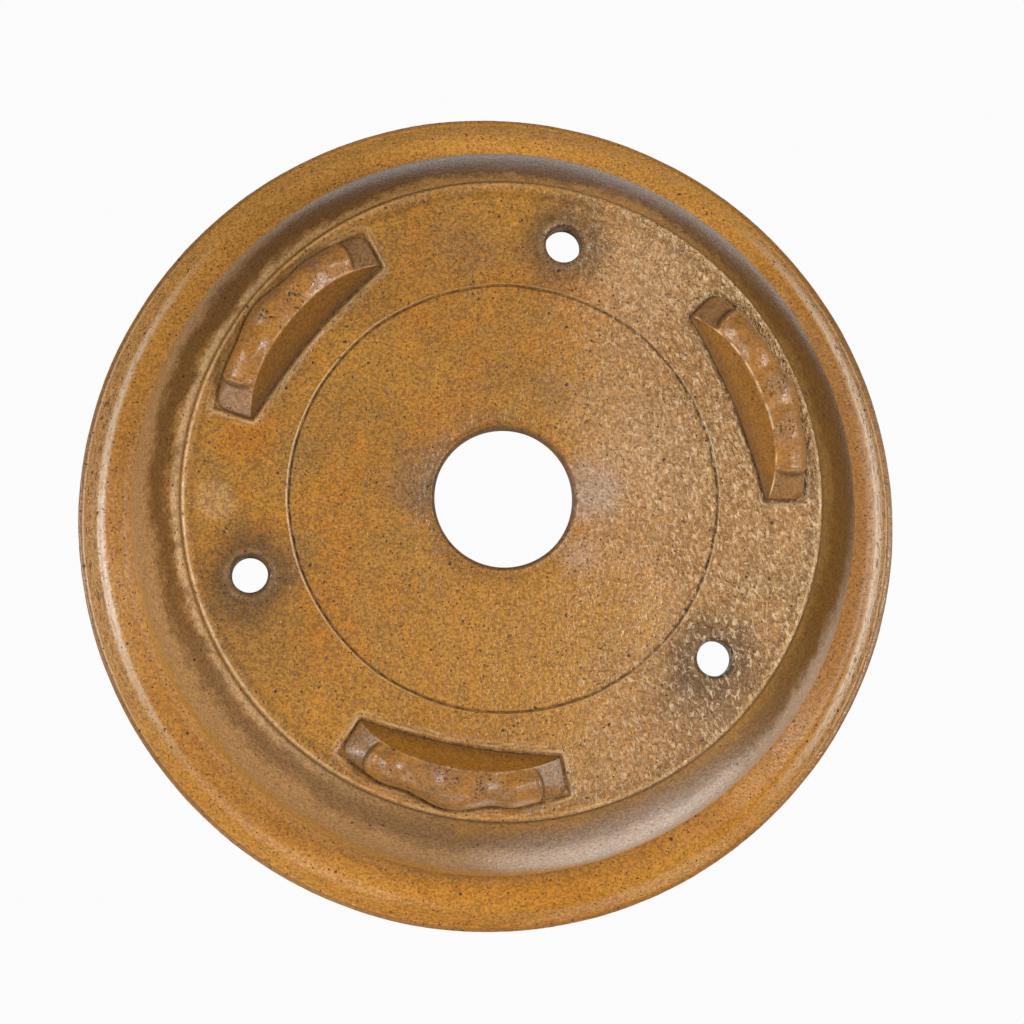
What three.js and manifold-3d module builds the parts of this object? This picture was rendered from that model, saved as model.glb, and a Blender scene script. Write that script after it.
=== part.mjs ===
import * as THREE from 'three';
import { mergeVertices } from 'three/addons/utils/BufferGeometryUtils.js';
import Module from 'manifold-3d';

// A shallow round stoneware pot for a bonsai tree, built as a potter builds it:
// a floor slab, a bellied wall ring luted onto the slab's bevelled edge,
// a rolled rim band laid on the wall, and three lumpy feet luted under the floor.
// Millimetres, +Z up. The origin is on the ground, on the pot's axis.

const wasm = await Module();
wasm.setup();

// Rim band, from its widest circle inwards
const rimRadius = 187.5;
const rimEdgeHeight = 5.5;
const rimRound = 4.1;
const rimTopWidth = 20.1;
const rimInnerLand = 7.0;
const rimInnerRound = 10;
const lipFaceWidth = 10.3;
const lipFaceSlope = 42;
const lipCornerRound = 3.0;
const lipOverhang = 16.1;
const lipUndersideSlope = 12;
const neckFillet = 6.0;
const neckLand = 1.0;

// Wall ring, below the rim band
const wallThickness = 10;
const bellyInset = 25.7;
const bellyHeight = 61;
const neckLength = 13;
const innerCornerRound = 9;

// Floor slab
const floorThickness = 10;
const slabPride = 0.7;
const slabEdgeHeight = 1.3;
const slabEdgeRound = 1.2;
const bevelRun = 9.2;
const grooveInset = 44.6;
const grooveWidth = 1.4;
const grooveDepth = 0.8;
const centreRecess = 0.4;
const drainRadius = 29.5;
const drainMouthRound = 2.4;
const drainTopRound = 1.0;

// Three holes for the wires that tie the tree in
const tieRadius = 7.6;
const tieMouthRound = 0.8;
const cutterOverrun = 2.0;
const tieInset = 24.1;
const tieAzimuths = [92.6, -27.8, -153.3];

// Feet: one shape set three times round the floor
const footAzimuths = [-90.2, 28.8, 147.3];
const footHeight = 15.5;
const footHalfAngle = 22.4;
const footInnerInset = 30.0;
const footInnerStraightening = 5.1;
const footOuterInset = 6.3;
const footEndInset = 2.2;
const footFaceLean = 32;
const footLumpRise = 3.5;
const footShoulderFall = 2.0;
const footTabHeight = 7.6;
const footTabFall = 3.6;
const footTabAngle = 6.2;
const footStepAngle = 0.25;
const footEndAngle = 0.8;
const footEndHeight = 2.8;
const footRidgeRound = 1.1;
const footContactCut = 0.8;

// Lumps of the cloud-shaped roll: place and half width in degrees along the foot,
// rise as a part of the full lump rise, and outward swell in millimetres
const footLumps = [
  { at: -12.4, half: 4.8, rise: 0.25, swell: 0.3 },
  { at: -4.6, half: 6.5, rise: 0.85, swell: 1.2 },
  { at: 1.6, half: 7.0, rise: 1.0, swell: 2.8 },
  { at: 7.4, half: 5.0, rise: 0.5, swell: 0.6 },
  { at: 13.2, half: 4.0, rise: 0.2, swell: 0.2 },
];

// The roll's section from its inner ridge to its outer edge, as parts of its width and of its height
const footRoll = [
  [0.12, 1.0],
  [0.5, 1.0],
  [0.78, 0.84],
  [0.94, 0.58],
  [1.0, 0.25],
  [1.0, 0],
];

// Gap left in the luted joint between slab and wall
const jointGap = 0.3;

// Fineness of the round work
const roundSteps = 72;
const holeSteps = 24;
const bellySteps = 9;
const footStations = 28;

// Radii and heights that follow from the sizes above
const neckRadius = rimRadius - lipFaceWidth - lipOverhang;
const wallFootRadius = neckRadius - bellyInset;
const slabRadius = wallFootRadius + slabPride;
const wallFootHeight = slabEdgeHeight + jointGap;
const seatHeight = bellyHeight + neckLength;
const underside = footHeight;

const radians = THREE.MathUtils.degToRad;

// Point on a circle in the profile plane, with the angle in radians from the outward direction
function onCircle(centreR, centreZ, radius, angle) {
  return new THREE.Vector2(centreR + radius * Math.cos(angle), centreZ + radius * Math.sin(angle));
}

function arc(centreR, centreZ, radius, from, to, steps) {
  const points = [];
  for (let i = 0; i <= steps; i += 1) {
    points.push(onCircle(centreR, centreZ, radius, from + ((to - from) * i) / steps));
  }
  return points;
}

// Rounds one corner of an outline. The round never takes more than its share of either side.
function roundedCorner(before, corner, after, radius, steps) {
  const toBefore = before.clone().sub(corner);
  const toAfter = after.clone().sub(corner);
  const half = Math.acos(toBefore.dot(toAfter) / (toBefore.length() * toAfter.length())) / 2;
  const room = 0.9 * Math.min(toBefore.length(), toAfter.length());
  const reach = Math.min(radius / Math.tan(half), room);
  const start = corner.clone().addScaledVector(toBefore.normalize(), reach);
  const end = corner.clone().addScaledVector(toAfter.normalize(), reach);
  const points = [];
  for (let i = 0; i <= steps; i += 1) {
    const t = i / steps;
    const first = start.clone().lerp(corner, t);
    const second = corner.clone().lerp(end, t);
    points.push(first.lerp(second, t));
  }
  return points;
}

// An outline from corners given as [radius from the axis, height, corner round, steps in the round]
function outline(corners) {
  const spots = corners.map(([r, z]) => new THREE.Vector2(r, z));
  const points = [];
  corners.forEach(([, , round = 0, steps = 3], i) => {
    const before = spots[(i + spots.length - 1) % spots.length];
    const after = spots[(i + 1) % spots.length];
    points.push(...(round > 0 ? roundedCorner(before, spots[i], after, round, steps) : [spots[i]]));
  });
  return points;
}

// Turns a closed profile round the pot's axis. Profiles run anticlockwise, seen with the axis on the left.
function turned(profile, steps) {
  const closed = [...profile, profile[0].clone()];
  const geometry = new THREE.LatheGeometry(closed, steps);
  geometry.rotateX(Math.PI / 2);
  return welded(geometry);
}

function welded(geometry) {
  geometry.deleteAttribute('normal');
  geometry.deleteAttribute('uv');
  const merged = mergeVertices(geometry, 1e-4);
  return dropSlivers(merged);
}

// Removes triangles whose corners became one point when the vertices were merged
function dropSlivers(geometry) {
  const index = geometry.getIndex().array;
  const kept = [];
  for (let i = 0; i < index.length; i += 3) {
    const [a, b, c] = [index[i], index[i + 1], index[i + 2]];
    if (a !== b && b !== c && c !== a) {
      kept.push(a, b, c);
    }
  }
  geometry.setIndex(kept);
  return geometry;
}

function toSolid(geometry) {
  const vertProperties = new Float32Array(geometry.getAttribute('position').array);
  const triVerts = new Uint32Array(geometry.getIndex().array);
  return new wasm.Manifold(new wasm.Mesh({ numProp: 3, vertProperties, triVerts }));
}

function toGeometry(solid) {
  const mesh = solid.getMesh();
  const geometry = new THREE.BufferGeometry();
  geometry.setAttribute('position', new THREE.BufferAttribute(new Float32Array(mesh.vertProperties), 3));
  geometry.setIndex(new THREE.BufferAttribute(new Uint32Array(mesh.triVerts), 1));
  return geometry;
}

// Floor slab: bevelled edge, cut circle round a slightly sunk middle, drain hole with a softened mouth
function floorSlab() {
  const grooveRadius = slabRadius - grooveInset;
  const bevelStart = wallFootRadius - jointGap;
  const bevelEnd = bevelStart - bevelRun;
  const profile = outline([
    [drainRadius, centreRecess, drainMouthRound, 4],
    [grooveRadius - grooveWidth, centreRecess],
    [grooveRadius - grooveWidth / 2, grooveDepth],
    [grooveRadius, 0],
    [slabRadius, 0, slabEdgeRound, 3],
    [slabRadius, slabEdgeHeight],
    [bevelStart, slabEdgeHeight],
    [bevelEnd, floorThickness],
    [drainRadius, floorThickness, drainTopRound, 1],
  ]);
  let slab = toSolid(turned(profile, roundSteps));
  for (const azimuth of tieAzimuths) {
    const cutter = tieHoleCutter();
    cutter.translate(slabRadius - tieInset, 0, 0);
    cutter.rotateZ(radians(azimuth));
    slab = slab.subtract(toSolid(cutter));
  }
  const geometry = toGeometry(slab);
  geometry.translate(0, 0, underside);
  return geometry;
}

function tieHoleCutter() {
  const mouth = arc(tieRadius + tieMouthRound, tieMouthRound, tieMouthRound, -Math.PI / 2, -Math.PI, 2);
  const profile = [
    new THREE.Vector2(0, -cutterOverrun),
    new THREE.Vector2(tieRadius + tieMouthRound, -cutterOverrun),
    ...mouth,
    new THREE.Vector2(tieRadius, floorThickness + cutterOverrun),
    new THREE.Vector2(0, floorThickness + cutterOverrun),
  ];
  const geometry = new THREE.LatheGeometry(profile, holeSteps);
  geometry.rotateX(Math.PI / 2);
  return welded(geometry);
}

// Wall ring: a belly that swells from the slab's edge to an upright neck, of even thickness
function bowlWall() {
  const rise = bellyHeight - wallFootHeight;
  const bellyRound = (bellyInset * bellyInset + rise * rise) / (2 * bellyInset);
  const centreR = neckRadius - bellyRound;
  const outerFoot = Math.asin(-rise / bellyRound);
  const innerRound = bellyRound - wallThickness;
  const innerFoot = Math.asin((floorThickness + innerCornerRound - bellyHeight) / innerRound);
  const innerFootPoint = onCircle(centreR, bellyHeight, innerRound, innerFoot);
  const featherEdge = new THREE.Vector2(wallFootRadius - bevelRun, floorThickness + jointGap);
  const cornerInset = (innerFootPoint.y - featherEdge.y) * Math.tan(-innerFoot);
  const cornerPoint = new THREE.Vector2(innerFootPoint.x - cornerInset, featherEdge.y);
  const profile = [
    ...arc(centreR, bellyHeight, bellyRound, outerFoot, 0, bellySteps),
    new THREE.Vector2(neckRadius, seatHeight),
    new THREE.Vector2(neckRadius - wallThickness, seatHeight),
    ...arc(centreR, bellyHeight, innerRound, 0, innerFoot, bellySteps - 2),
    ...roundedCorner(innerFootPoint, cornerPoint, featherEdge, innerCornerRound, 3),
    featherEdge,
  ];
  const geometry = turned(profile, roundSteps);
  geometry.translate(0, 0, underside);
  return geometry;
}

// Rim band: upright land, hollow neck, nearly flat underside, sloping lip face and a rolled top
function rimBand() {
  const underRise = Math.tan(radians(lipUndersideSlope));
  const faceRise = Math.tan(radians(lipFaceSlope));
  const filletReach = neckFillet / Math.tan(radians(90 + lipUndersideSlope) / 2);
  const cornerHeight = seatHeight + neckLand + filletReach;
  const lipCornerHeight = cornerHeight + lipOverhang * underRise;
  const lipFaceTop = lipCornerHeight + lipFaceWidth * faceRise;
  const rimTop = lipFaceTop + rimEdgeHeight;
  const innerRadius = neckRadius - wallThickness;
  const profile = outline([
    [innerRadius, seatHeight],
    [neckRadius, seatHeight],
    [neckRadius, cornerHeight, neckFillet, 4],
    [rimRadius - lipFaceWidth, lipCornerHeight, lipCornerRound, 2],
    [rimRadius, lipFaceTop, rimRound, 3],
    [rimRadius, rimTop, rimRound, 4],
    [rimRadius - rimTopWidth, rimTop, rimRound, 3],
    [innerRadius, seatHeight + rimInnerLand, rimInnerRound, 3],
  ]);
  const geometry = turned(profile, roundSteps);
  geometry.translate(0, 0, underside);
  return geometry;
}

function bump(distance, half) {
  return Math.abs(distance) < half ? 0.5 + 0.5 * Math.cos((Math.PI * distance) / half) : 0;
}

function lumpSum(u, key) {
  return footLumps.reduce((sum, lump) => sum + lump[key] * bump(u - lump.at, lump.half), 0);
}

// Height of the foot below the floor, u degrees from its middle: the lumpy roll, and a lower tab at each end
function rollHeight(u) {
  const tabStart = footHalfAngle - footTabAngle;
  if (Math.abs(u) > tabStart) {
    const along = (Math.abs(u) - tabStart) / footTabAngle;
    return footTabHeight - footTabFall * along;
  }
  const shoulder = footHeight + footContactCut - footLumpRise - footShoulderFall * (u / tabStart) ** 2;
  return shoulder + footLumpRise * lumpSum(u, 'rise');
}

// One cross-section of the foot as [radius, depth below the floor], from the inner base line outwards
function footSection(u) {
  const along = u / footHalfAngle;
  const inner = slabRadius - footInnerInset + footInnerStraightening * along ** 2;
  const outer = slabRadius - footOuterInset - footEndInset * along ** 4 + lumpSum(u, 'swell');
  const top = rollHeight(u);
  const ridgeDepth = top - footRidgeRound;
  const ridge = inner + Math.tan(radians(footFaceLean)) * ridgeDepth;
  const roll = footRoll.map(([across, down]) => [ridge + across * (outer - ridge), down * top]);
  return [[inner, 0], [ridge, ridgeDepth], ...roll];
}

// Stations along the foot: even steps, with a close pair at each step down to a tab
function footStationAngles() {
  const tabStart = footHalfAngle - footTabAngle;
  const angles = [];
  for (let i = 0; i <= footStations; i += 1) {
    angles.push(tabStart * ((2 * i) / footStations - 1));
  }
  const tabMiddle = tabStart + footTabAngle / 2;
  const tab = [tabStart + footStepAngle, tabMiddle, footHalfAngle - footEndAngle, footHalfAngle];
  return [...tab.map((u) => -u).reverse(), ...angles, ...tab];
}

function footGeometry(azimuth) {
  const stations = footStationAngles();
  const position = [];
  const index = [];
  const ringSize = footSection(0).length;
  stations.forEach((u) => {
    const angle = radians(azimuth + u);
    const limit = Math.abs(u) === footHalfAngle ? footEndHeight : footHeight;
    footSection(u).forEach(([radius, depth]) => {
      position.push(radius * Math.cos(angle), radius * Math.sin(angle), underside - Math.min(depth, limit));
    });
  });
  for (let s = 0; s + 1 < stations.length; s += 1) {
    for (let k = 0; k < ringSize; k += 1) {
      const a = s * ringSize + k;
      const b = s * ringSize + ((k + 1) % ringSize);
      const c = a + ringSize;
      const d = b + ringSize;
      index.push(a, d, b, a, c, d);
    }
  }
  const last = (stations.length - 1) * ringSize;
  for (let k = 1; k + 1 < ringSize; k += 1) {
    index.push(0, k, k + 1);
    index.push(last, last + k + 1, last + k);
  }
  const geometry = new THREE.BufferGeometry();
  geometry.setAttribute('position', new THREE.Float32BufferAttribute(position, 3));
  geometry.setIndex(index);
  return geometry;
}

const pot = new THREE.Group();

function addPiece(name, geometry, colour, roughness) {
  const material = new THREE.MeshStandardMaterial({ color: colour, roughness, metalness: 0 });
  const mesh = new THREE.Mesh(geometry, material);
  mesh.name = name;
  pot.add(mesh);
}

addPiece('floor_slab', floorSlab(), 0xa97836, 0.62);
addPiece('bowl_wall', bowlWall(), 0x8a6238, 0.58);
addPiece('rim_band', rimBand(), 0xa9742f, 0.6);
footAzimuths.forEach((azimuth, i) => {
  addPiece(`foot_${i + 1}`, footGeometry(azimuth), 0xa07138, 0.45);
});

export default pot;
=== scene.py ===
import math

import bpy
import numpy as np
from mathutils import Matrix, Vector, noise


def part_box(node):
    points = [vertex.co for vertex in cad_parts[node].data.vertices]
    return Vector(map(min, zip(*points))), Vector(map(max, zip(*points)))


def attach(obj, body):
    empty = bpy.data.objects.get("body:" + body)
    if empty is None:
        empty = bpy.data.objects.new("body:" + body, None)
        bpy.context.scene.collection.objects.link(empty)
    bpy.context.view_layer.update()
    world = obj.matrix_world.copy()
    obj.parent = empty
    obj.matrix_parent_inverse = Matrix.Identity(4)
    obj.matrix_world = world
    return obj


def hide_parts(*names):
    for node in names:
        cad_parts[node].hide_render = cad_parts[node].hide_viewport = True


# %% [markdown]
# A round stoneware pot for a small tree, seen from below
#
# The pot was fired without a glaze, so its whole look is the clay itself: ochre and orange-brown,
# finely grained, speckled with iron, and scorched grey-brown where the flames went round the belly.
# The solids come from the CAD frame. Each one gets a finer piece here that sits exactly where the
# solid is: a potter's slab, a bellied wall, a rolled rim and three lumpy feet, all with tool marks.

# %% Load the frame
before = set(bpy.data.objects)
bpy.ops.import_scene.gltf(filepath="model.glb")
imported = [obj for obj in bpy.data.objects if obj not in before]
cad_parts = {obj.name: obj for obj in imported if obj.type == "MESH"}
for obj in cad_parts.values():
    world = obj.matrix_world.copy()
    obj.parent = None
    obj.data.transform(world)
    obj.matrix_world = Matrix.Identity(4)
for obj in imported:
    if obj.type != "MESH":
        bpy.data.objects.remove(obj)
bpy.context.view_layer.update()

# %% [markdown]
# The sizes of the pot
#
# Everything is worked out in millimetres and turned into metres at the end. The outside sizes are
# read from the frame's solids. The others repeat the CAD source, because only the frame is read.

# %% Sizes in millimetres
MM = 0.001


def corner(node, which):
    return np.array(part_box(node)[which]) / MM


RIM_RADIUS = corner("rim_band", 1)[0]
RIM_TOP = corner("rim_band", 1)[2]
SEAT = corner("rim_band", 0)[2]
NECK_RADIUS = corner("bowl_wall", 1)[0]
UNDERSIDE = corner("floor_slab", 0)[2]
FLOOR_TOP = corner("floor_slab", 1)[2]
SLAB_RADIUS = corner("floor_slab", 1)[0]
WALL_FOOT_RADIUS = SLAB_RADIUS - 0.7
BELLY_HEIGHT = UNDERSIDE + 61
WALL_THICKNESS = 10
GROOVE_RADIUS = SLAB_RADIUS - 44.6
DRAIN_RADIUS = 29.5
TIE_RADIUS = 7.6
TIE_CIRCLE = SLAB_RADIUS - 24.1
TIE_AZIMUTHS = (92.6, -27.8, -153.3)
print("underside at", round(UNDERSIDE, 2), "rim radius", round(RIM_RADIUS, 2))

# %% [markdown]
# The direction that is on the right in the photograph
#
# The slab is rougher on that side, and a few marks are placed by it.

# %% A frame of reference on the underside
PHOTO_RIGHT_AZIMUTH = 169.5


def polar(radius, azimuth):
    angle = np.radians(azimuth)
    return np.stack([radius * np.cos(angle), radius * np.sin(angle)], axis=-1)


def photo_azimuth(image_angle):
    """Azimuth of a direction that the photograph shows at this angle, anticlockwise from its right."""
    return PHOTO_RIGHT_AZIMUTH - image_angle


PHOTO_RIGHT = polar(1.0, PHOTO_RIGHT_AZIMUTH)
PHOTO_UP = polar(1.0, photo_azimuth(90))


def photo_point(right, up):
    """A point of the underside, in millimetres right of and above the middle as the photograph shows it."""
    return right * PHOTO_RIGHT + up * PHOTO_UP


TIE_CENTRES = [polar(TIE_CIRCLE, azimuth) for azimuth in TIE_AZIMUTHS]
print("tie holes at", [centre.round(1).tolist() for centre in TIE_CENTRES], "mm")

# %% [markdown]
# Small helpers for node trees
#
# A node tree is quicker to read when each line adds one node and says what goes into it. These
# helpers do that for both the Geometry Nodes trees and the clay materials.


# %% Node tree helpers
def put(tree, kind, inputs=None, **settings):
    """Adds a node, sets its options, and fills its sockets with values or with links."""
    node = tree.nodes.new(kind)
    for name, value in settings.items():
        setattr(node, name, value)
    for name, value in (inputs or {}).items():
        socket = next(s for s in node.inputs if s.enabled and name in (s.name, s.identifier))
        if isinstance(value, bpy.types.NodeSocket):
            tree.links.new(value, socket)
        else:
            socket.default_value = value
    return node


def first(node):
    return next(s for s in node.outputs if s.enabled)


def calc(tree, operation, a, b=None):
    sockets = {"Value": a} if b is None else {"Value": a, "Value_001": b}
    return first(put(tree, "ShaderNodeMath", sockets, operation=operation))


def times(tree, a, b):
    return calc(tree, "MULTIPLY", a, b)


def ramp(tree, value, low, high, to_low=0.0, to_high=1.0):
    """A smooth step of value from low to high."""
    sockets = {"Value": value, "From Min": low, "From Max": high, "To Min": to_low, "To Max": to_high}
    return first(put(tree, "ShaderNodeMapRange", sockets, interpolation_type="SMOOTHSTEP"))


def blend(tree, factor, a, b, mode="MIX"):
    sockets = {"Factor": factor, "A": a, "B": b}
    return first(put(tree, "ShaderNodeMix", sockets, data_type="RGBA", blend_type=mode))


print("node helpers ready")

# %% [markdown]
# Helpers for directions and for groups
#
# Bands, halos and streaks follow places and directions on the pot, so a few vector sums come back
# often. What several materials share becomes a node group, and the last helper starts one.


# %% Vector and group helpers
def combined(tree, operation, a, b):
    """Two vectors added, subtracted or multiplied."""
    sockets = {"Vector": a, "Vector_001": b}
    return first(put(tree, "ShaderNodeVectorMath", sockets, operation=operation))


def scaled(tree, vector, factor):
    return first(put(tree, "ShaderNodeVectorMath", {"Vector": vector, "Scale": factor}, operation="SCALE"))


def reach_along(tree, vector, direction):
    """The dot product: how far a vector reaches in a direction."""
    sockets = {"Vector": vector, "Vector_001": direction}
    return put(tree, "ShaderNodeVectorMath", sockets, operation="DOT_PRODUCT").outputs["Value"]


def levelled(tree, vector):
    """The vector without its height."""
    parts = put(tree, "ShaderNodeSeparateXYZ", {"Vector": vector})
    return first(put(tree, "ShaderNodeCombineXYZ", {"X": parts.outputs["X"], "Y": parts.outputs["Y"]}))


def new_tree(name, kind, inputs, outputs):
    """A node group with named sockets, and its input and output nodes."""
    tree = bpy.data.node_groups.new(name, kind)
    for label, socket_type, value in inputs:
        socket = tree.interface.new_socket(label, in_out="INPUT", socket_type=socket_type)
        if value is not None:
            socket.default_value = value
    for label, socket_type in outputs:
        tree.interface.new_socket(label, in_out="OUTPUT", socket_type=socket_type)
    return tree, tree.nodes.new("NodeGroupInput").outputs, tree.nodes.new("NodeGroupOutput").inputs


print("vector and group helpers ready")

# %% [markdown]
# The grain of the fired clay
#
# Close up the clay is sandy. A Voronoi texture draws one random shade for each grain of sand, and a
# soft noise adds lumps of several grains. The soft noise alone lifts the surface, because the steps
# between single grains would glitter. It is a group because every piece uses it.

# %% Shader group: grain
grain_group, given, result = new_tree(
    "Sandy grain",
    "ShaderNodeTree",
    [("Vector", "NodeSocketVector", None), ("Size mm", "NodeSocketFloat", 0.6)],
    [("Grain", "NodeSocketFloat"), ("Lift", "NodeSocketFloat")],
)
fine_scale = calc(grain_group, "DIVIDE", 1.0 / MM, given["Size mm"])
lump_scale = times(grain_group, fine_scale, 0.55)
sand = put(grain_group, "ShaderNodeTexVoronoi", {"Vector": given["Vector"], "Scale": fine_scale})
sand_shade = put(grain_group, "ShaderNodeSeparateColor", {"Color": sand.outputs["Color"]}).outputs["Red"]
lump_inputs = {"Vector": given["Vector"], "Scale": lump_scale, "Detail": 2.0}
lumps = put(grain_group, "ShaderNodeTexNoise", lump_inputs)
sand_share = times(grain_group, sand_shade, 0.38)
lump_share = times(grain_group, first(lumps), 0.62)
grain_group.links.new(calc(grain_group, "ADD", sand_share, lump_share), result["Grain"])
grain_group.links.new(first(lumps), result["Lift"])
print("grain group has", len(grain_group.nodes), "nodes")

# %% [markdown]
# Iron specks, pinholes and pale flecks
#
# Iron in the clay burns to small dark dots, and gas leaves pinholes. A Voronoi texture gives one
# point to each cell. Each cell draws its own size, and some stay empty.

# %% Shader group: specks
speck_group, given, result = new_tree(
    "Scattered specks",
    "ShaderNodeTree",
    [
        ("Vector", "NodeSocketVector", None),
        ("Spacing mm", "NodeSocketFloat", 3.0),
        ("Radius mm", "NodeSocketFloat", 0.4),
        ("Share of cells", "NodeSocketFloat", 0.7),
    ],
    [("Mask", "NodeSocketFloat")],
)
speck_scale = calc(speck_group, "DIVIDE", 1.0 / MM, given["Spacing mm"])
cells = put(speck_group, "ShaderNodeTexVoronoi", {"Vector": given["Vector"], "Scale": speck_scale})
draw = put(speck_group, "ShaderNodeSeparateColor", {"Color": cells.outputs["Color"]})
radius = calc(speck_group, "DIVIDE", given["Radius mm"], given["Spacing mm"])
radius = times(speck_group, radius, ramp(speck_group, draw.outputs["Green"], 0.0, 1.0, 0.45, 1.0))
inner = times(speck_group, radius, 0.55)
dot = ramp(speck_group, cells.outputs["Distance"], inner, radius, 1.0, 0.0)
present = calc(speck_group, "LESS_THAN", draw.outputs["Red"], given["Share of cells"])
speck_group.links.new(times(speck_group, dot, present), result["Mask"])
print("speck group has", len(speck_group.nodes), "nodes")

# %% [markdown]
# Clouds left by the fire
#
# Flame and ash colour the clay in soft, ragged patches. One noise with a smooth threshold makes a
# mask of them. The seed slides the noise, so that two materials never share a pattern.

# %% Shader group: clouds
cloud_group, given, result = new_tree(
    "Firing clouds",
    "ShaderNodeTree",
    [
        ("Vector", "NodeSocketVector", None),
        ("Size mm", "NodeSocketFloat", 40.0),
        ("Start", "NodeSocketFloat", 0.45),
        ("Full", "NodeSocketFloat", 0.6),
        ("Seed", "NodeSocketFloat", 0.0),
    ],
    [("Mask", "NodeSocketFloat")],
)
cloud_scale = calc(cloud_group, "DIVIDE", 1.0 / MM, given["Size mm"])
cloud_noise = put(
    cloud_group,
    "ShaderNodeTexNoise",
    {
        "Vector": given["Vector"],
        "W": given["Seed"],
        "Scale": cloud_scale,
        "Detail": 6.0,
        "Roughness": 0.62,
        "Distortion": 0.5,
    },
    noise_dimensions="4D",
)
cloud_group.links.new(ramp(cloud_group, first(cloud_noise), given["Start"], given["Full"]), result["Mask"])
print("cloud group has", len(cloud_group.nodes), "nodes")

# %% [markdown]
# Grey halos round the holes
#
# Ash settled round the drain hole and the wire holes and left a grey-brown haze that fades out
# raggedly. The mask is the distance from a hole's axis, with some noise added to it.

# %% Shader group: halo
halo_group, given, result = new_tree(
    "Ash halo",
    "ShaderNodeTree",
    [
        ("Vector", "NodeSocketVector", None),
        ("Centre", "NodeSocketVector", None),
        ("Inner mm", "NodeSocketFloat", 10.0),
        ("Outer mm", "NodeSocketFloat", 25.0),
        ("Ragged mm", "NodeSocketFloat", 8.0),
    ],
    [("Mask", "NodeSocketFloat")],
)
offset = levelled(halo_group, combined(halo_group, "SUBTRACT", given["Vector"], given["Centre"]))
length = put(halo_group, "ShaderNodeVectorMath", {"Vector": offset}, operation="LENGTH")
distance = calc(halo_group, "DIVIDE", length.outputs["Value"], MM)
wandering = {"Vector": given["Vector"], "Scale": 90.0, "Detail": 5.0, "Roughness": 0.6}
wander = put(halo_group, "ShaderNodeTexNoise", wandering)
shift = times(halo_group, calc(halo_group, "SUBTRACT", first(wander), 0.5), given["Ragged mm"])
ragged = calc(halo_group, "ADD", distance, times(halo_group, shift, 2.0))
halo_group.links.new(ramp(halo_group, ragged, given["Inner mm"], given["Outer mm"], 1.0, 0.0), result["Mask"])
print("halo group has", len(halo_group.nodes), "nodes")

# %% [markdown]
# Streaks and wrinkles
#
# The potter's cloth and rib leave marks that are longer one way than the other. Stretching the
# space before the noise is read makes them. The stretch is a vector, so each place sets its own.

# %% Shader group: drawn-out noise
streak_group, given, result = new_tree(
    "Drawn-out marks",
    "ShaderNodeTree",
    [
        ("Vector", "NodeSocketVector", None),
        ("Stretch", "NodeSocketVector", (1.0, 1.0, 1.0)),
        ("Turn", "NodeSocketFloat", 0.0),
        ("Size mm", "NodeSocketFloat", 2.0),
        ("Detail", "NodeSocketFloat", 3.0),
    ],
    [("Mark", "NodeSocketFloat")],
)
turning = {"Vector": given["Vector"], "Angle": given["Turn"]}
turned = put(streak_group, "ShaderNodeVectorRotate", turning, rotation_type="Z_AXIS")
drawn = combined(streak_group, "MULTIPLY", first(turned), given["Stretch"])
streak_scale = calc(streak_group, "DIVIDE", 1.0 / MM, given["Size mm"])
marks = put(
    streak_group,
    "ShaderNodeTexNoise",
    {"Vector": drawn, "Scale": streak_scale, "Detail": given["Detail"], "Roughness": 0.55, "Distortion": 0.7},
)
streak_group.links.new(first(marks), result["Mark"])
print("streak group has", len(streak_group.nodes), "nodes")

# %% [markdown]
# What the clay materials share
#
# Each material starts with the same bench: the object's own coordinates, the Principled shader and
# a Bump node that takes heights in millimetres. The masks are the groups above, placed with their
# own sizes.


# %% Clay and masks
def clay(name, specular):
    """A new material with its tree, its shader, its bump node and the place on the object."""
    material = bpy.data.materials.new(name)
    material.use_nodes = True
    tree = material.node_tree
    shader = tree.nodes["Principled BSDF"]
    shader.inputs["Specular IOR Level"].default_value = specular
    bump = put(tree, "ShaderNodeBump", {"Strength": 1.0, "Distance": MM})
    tree.links.new(first(bump), shader.inputs["Normal"])
    place = put(tree, "ShaderNodeTexCoord").outputs["Object"]
    return material, tree, shader, bump, place


def group(tree, node_tree, inputs):
    return first(put(tree, "ShaderNodeGroup", inputs, node_tree=node_tree))


def painted(tree, name):
    """A number that the piece's own mesh carries at each point."""
    return put(tree, "ShaderNodeAttribute", attribute_name=name).outputs["Fac"]


def cloudy(tree, place, size, start, full, seed):
    """The mask of the firing clouds. The size is in millimetres, start and full are levels of the noise."""
    levels = {"Start": start, "Full": full, "Seed": seed}
    return group(tree, cloud_group, {"Vector": place, "Size mm": size, **levels})


def haze(tree, place, centre, inner, outer, ragged=8.0):
    """The mask of a halo round a point of the underside, all in millimetres."""
    middle = (*(np.array(centre) * MM), 0.0)
    sizes = {"Inner mm": inner, "Outer mm": outer, "Ragged mm": ragged}
    return group(tree, halo_group, {"Vector": place, "Centre": middle, **sizes})


def specks(tree, place, spacing, radius, share):
    """The mask of one kind of dots. Their spacing and radius are in millimetres."""
    sizes = {"Spacing mm": spacing, "Radius mm": radius, "Share of cells": share}
    return group(tree, speck_group, {"Vector": place, **sizes})


def finish_clay(tree, shader, bump, colour, roughness, height):
    tree.links.new(colour, shader.inputs["Base Color"])
    tree.links.new(roughness, shader.inputs["Roughness"])
    tree.links.new(height, bump.inputs["Height"])


print("clay and mask helpers ready")

# %% [markdown]
# Specks, grain and dust on any clay
#
# Every piece has specks and grain, and most have dull creases. So these helpers take the colour as
# it is so far and give it back changed. A little wobble in the place keeps the specks from being
# perfect discs.

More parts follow.
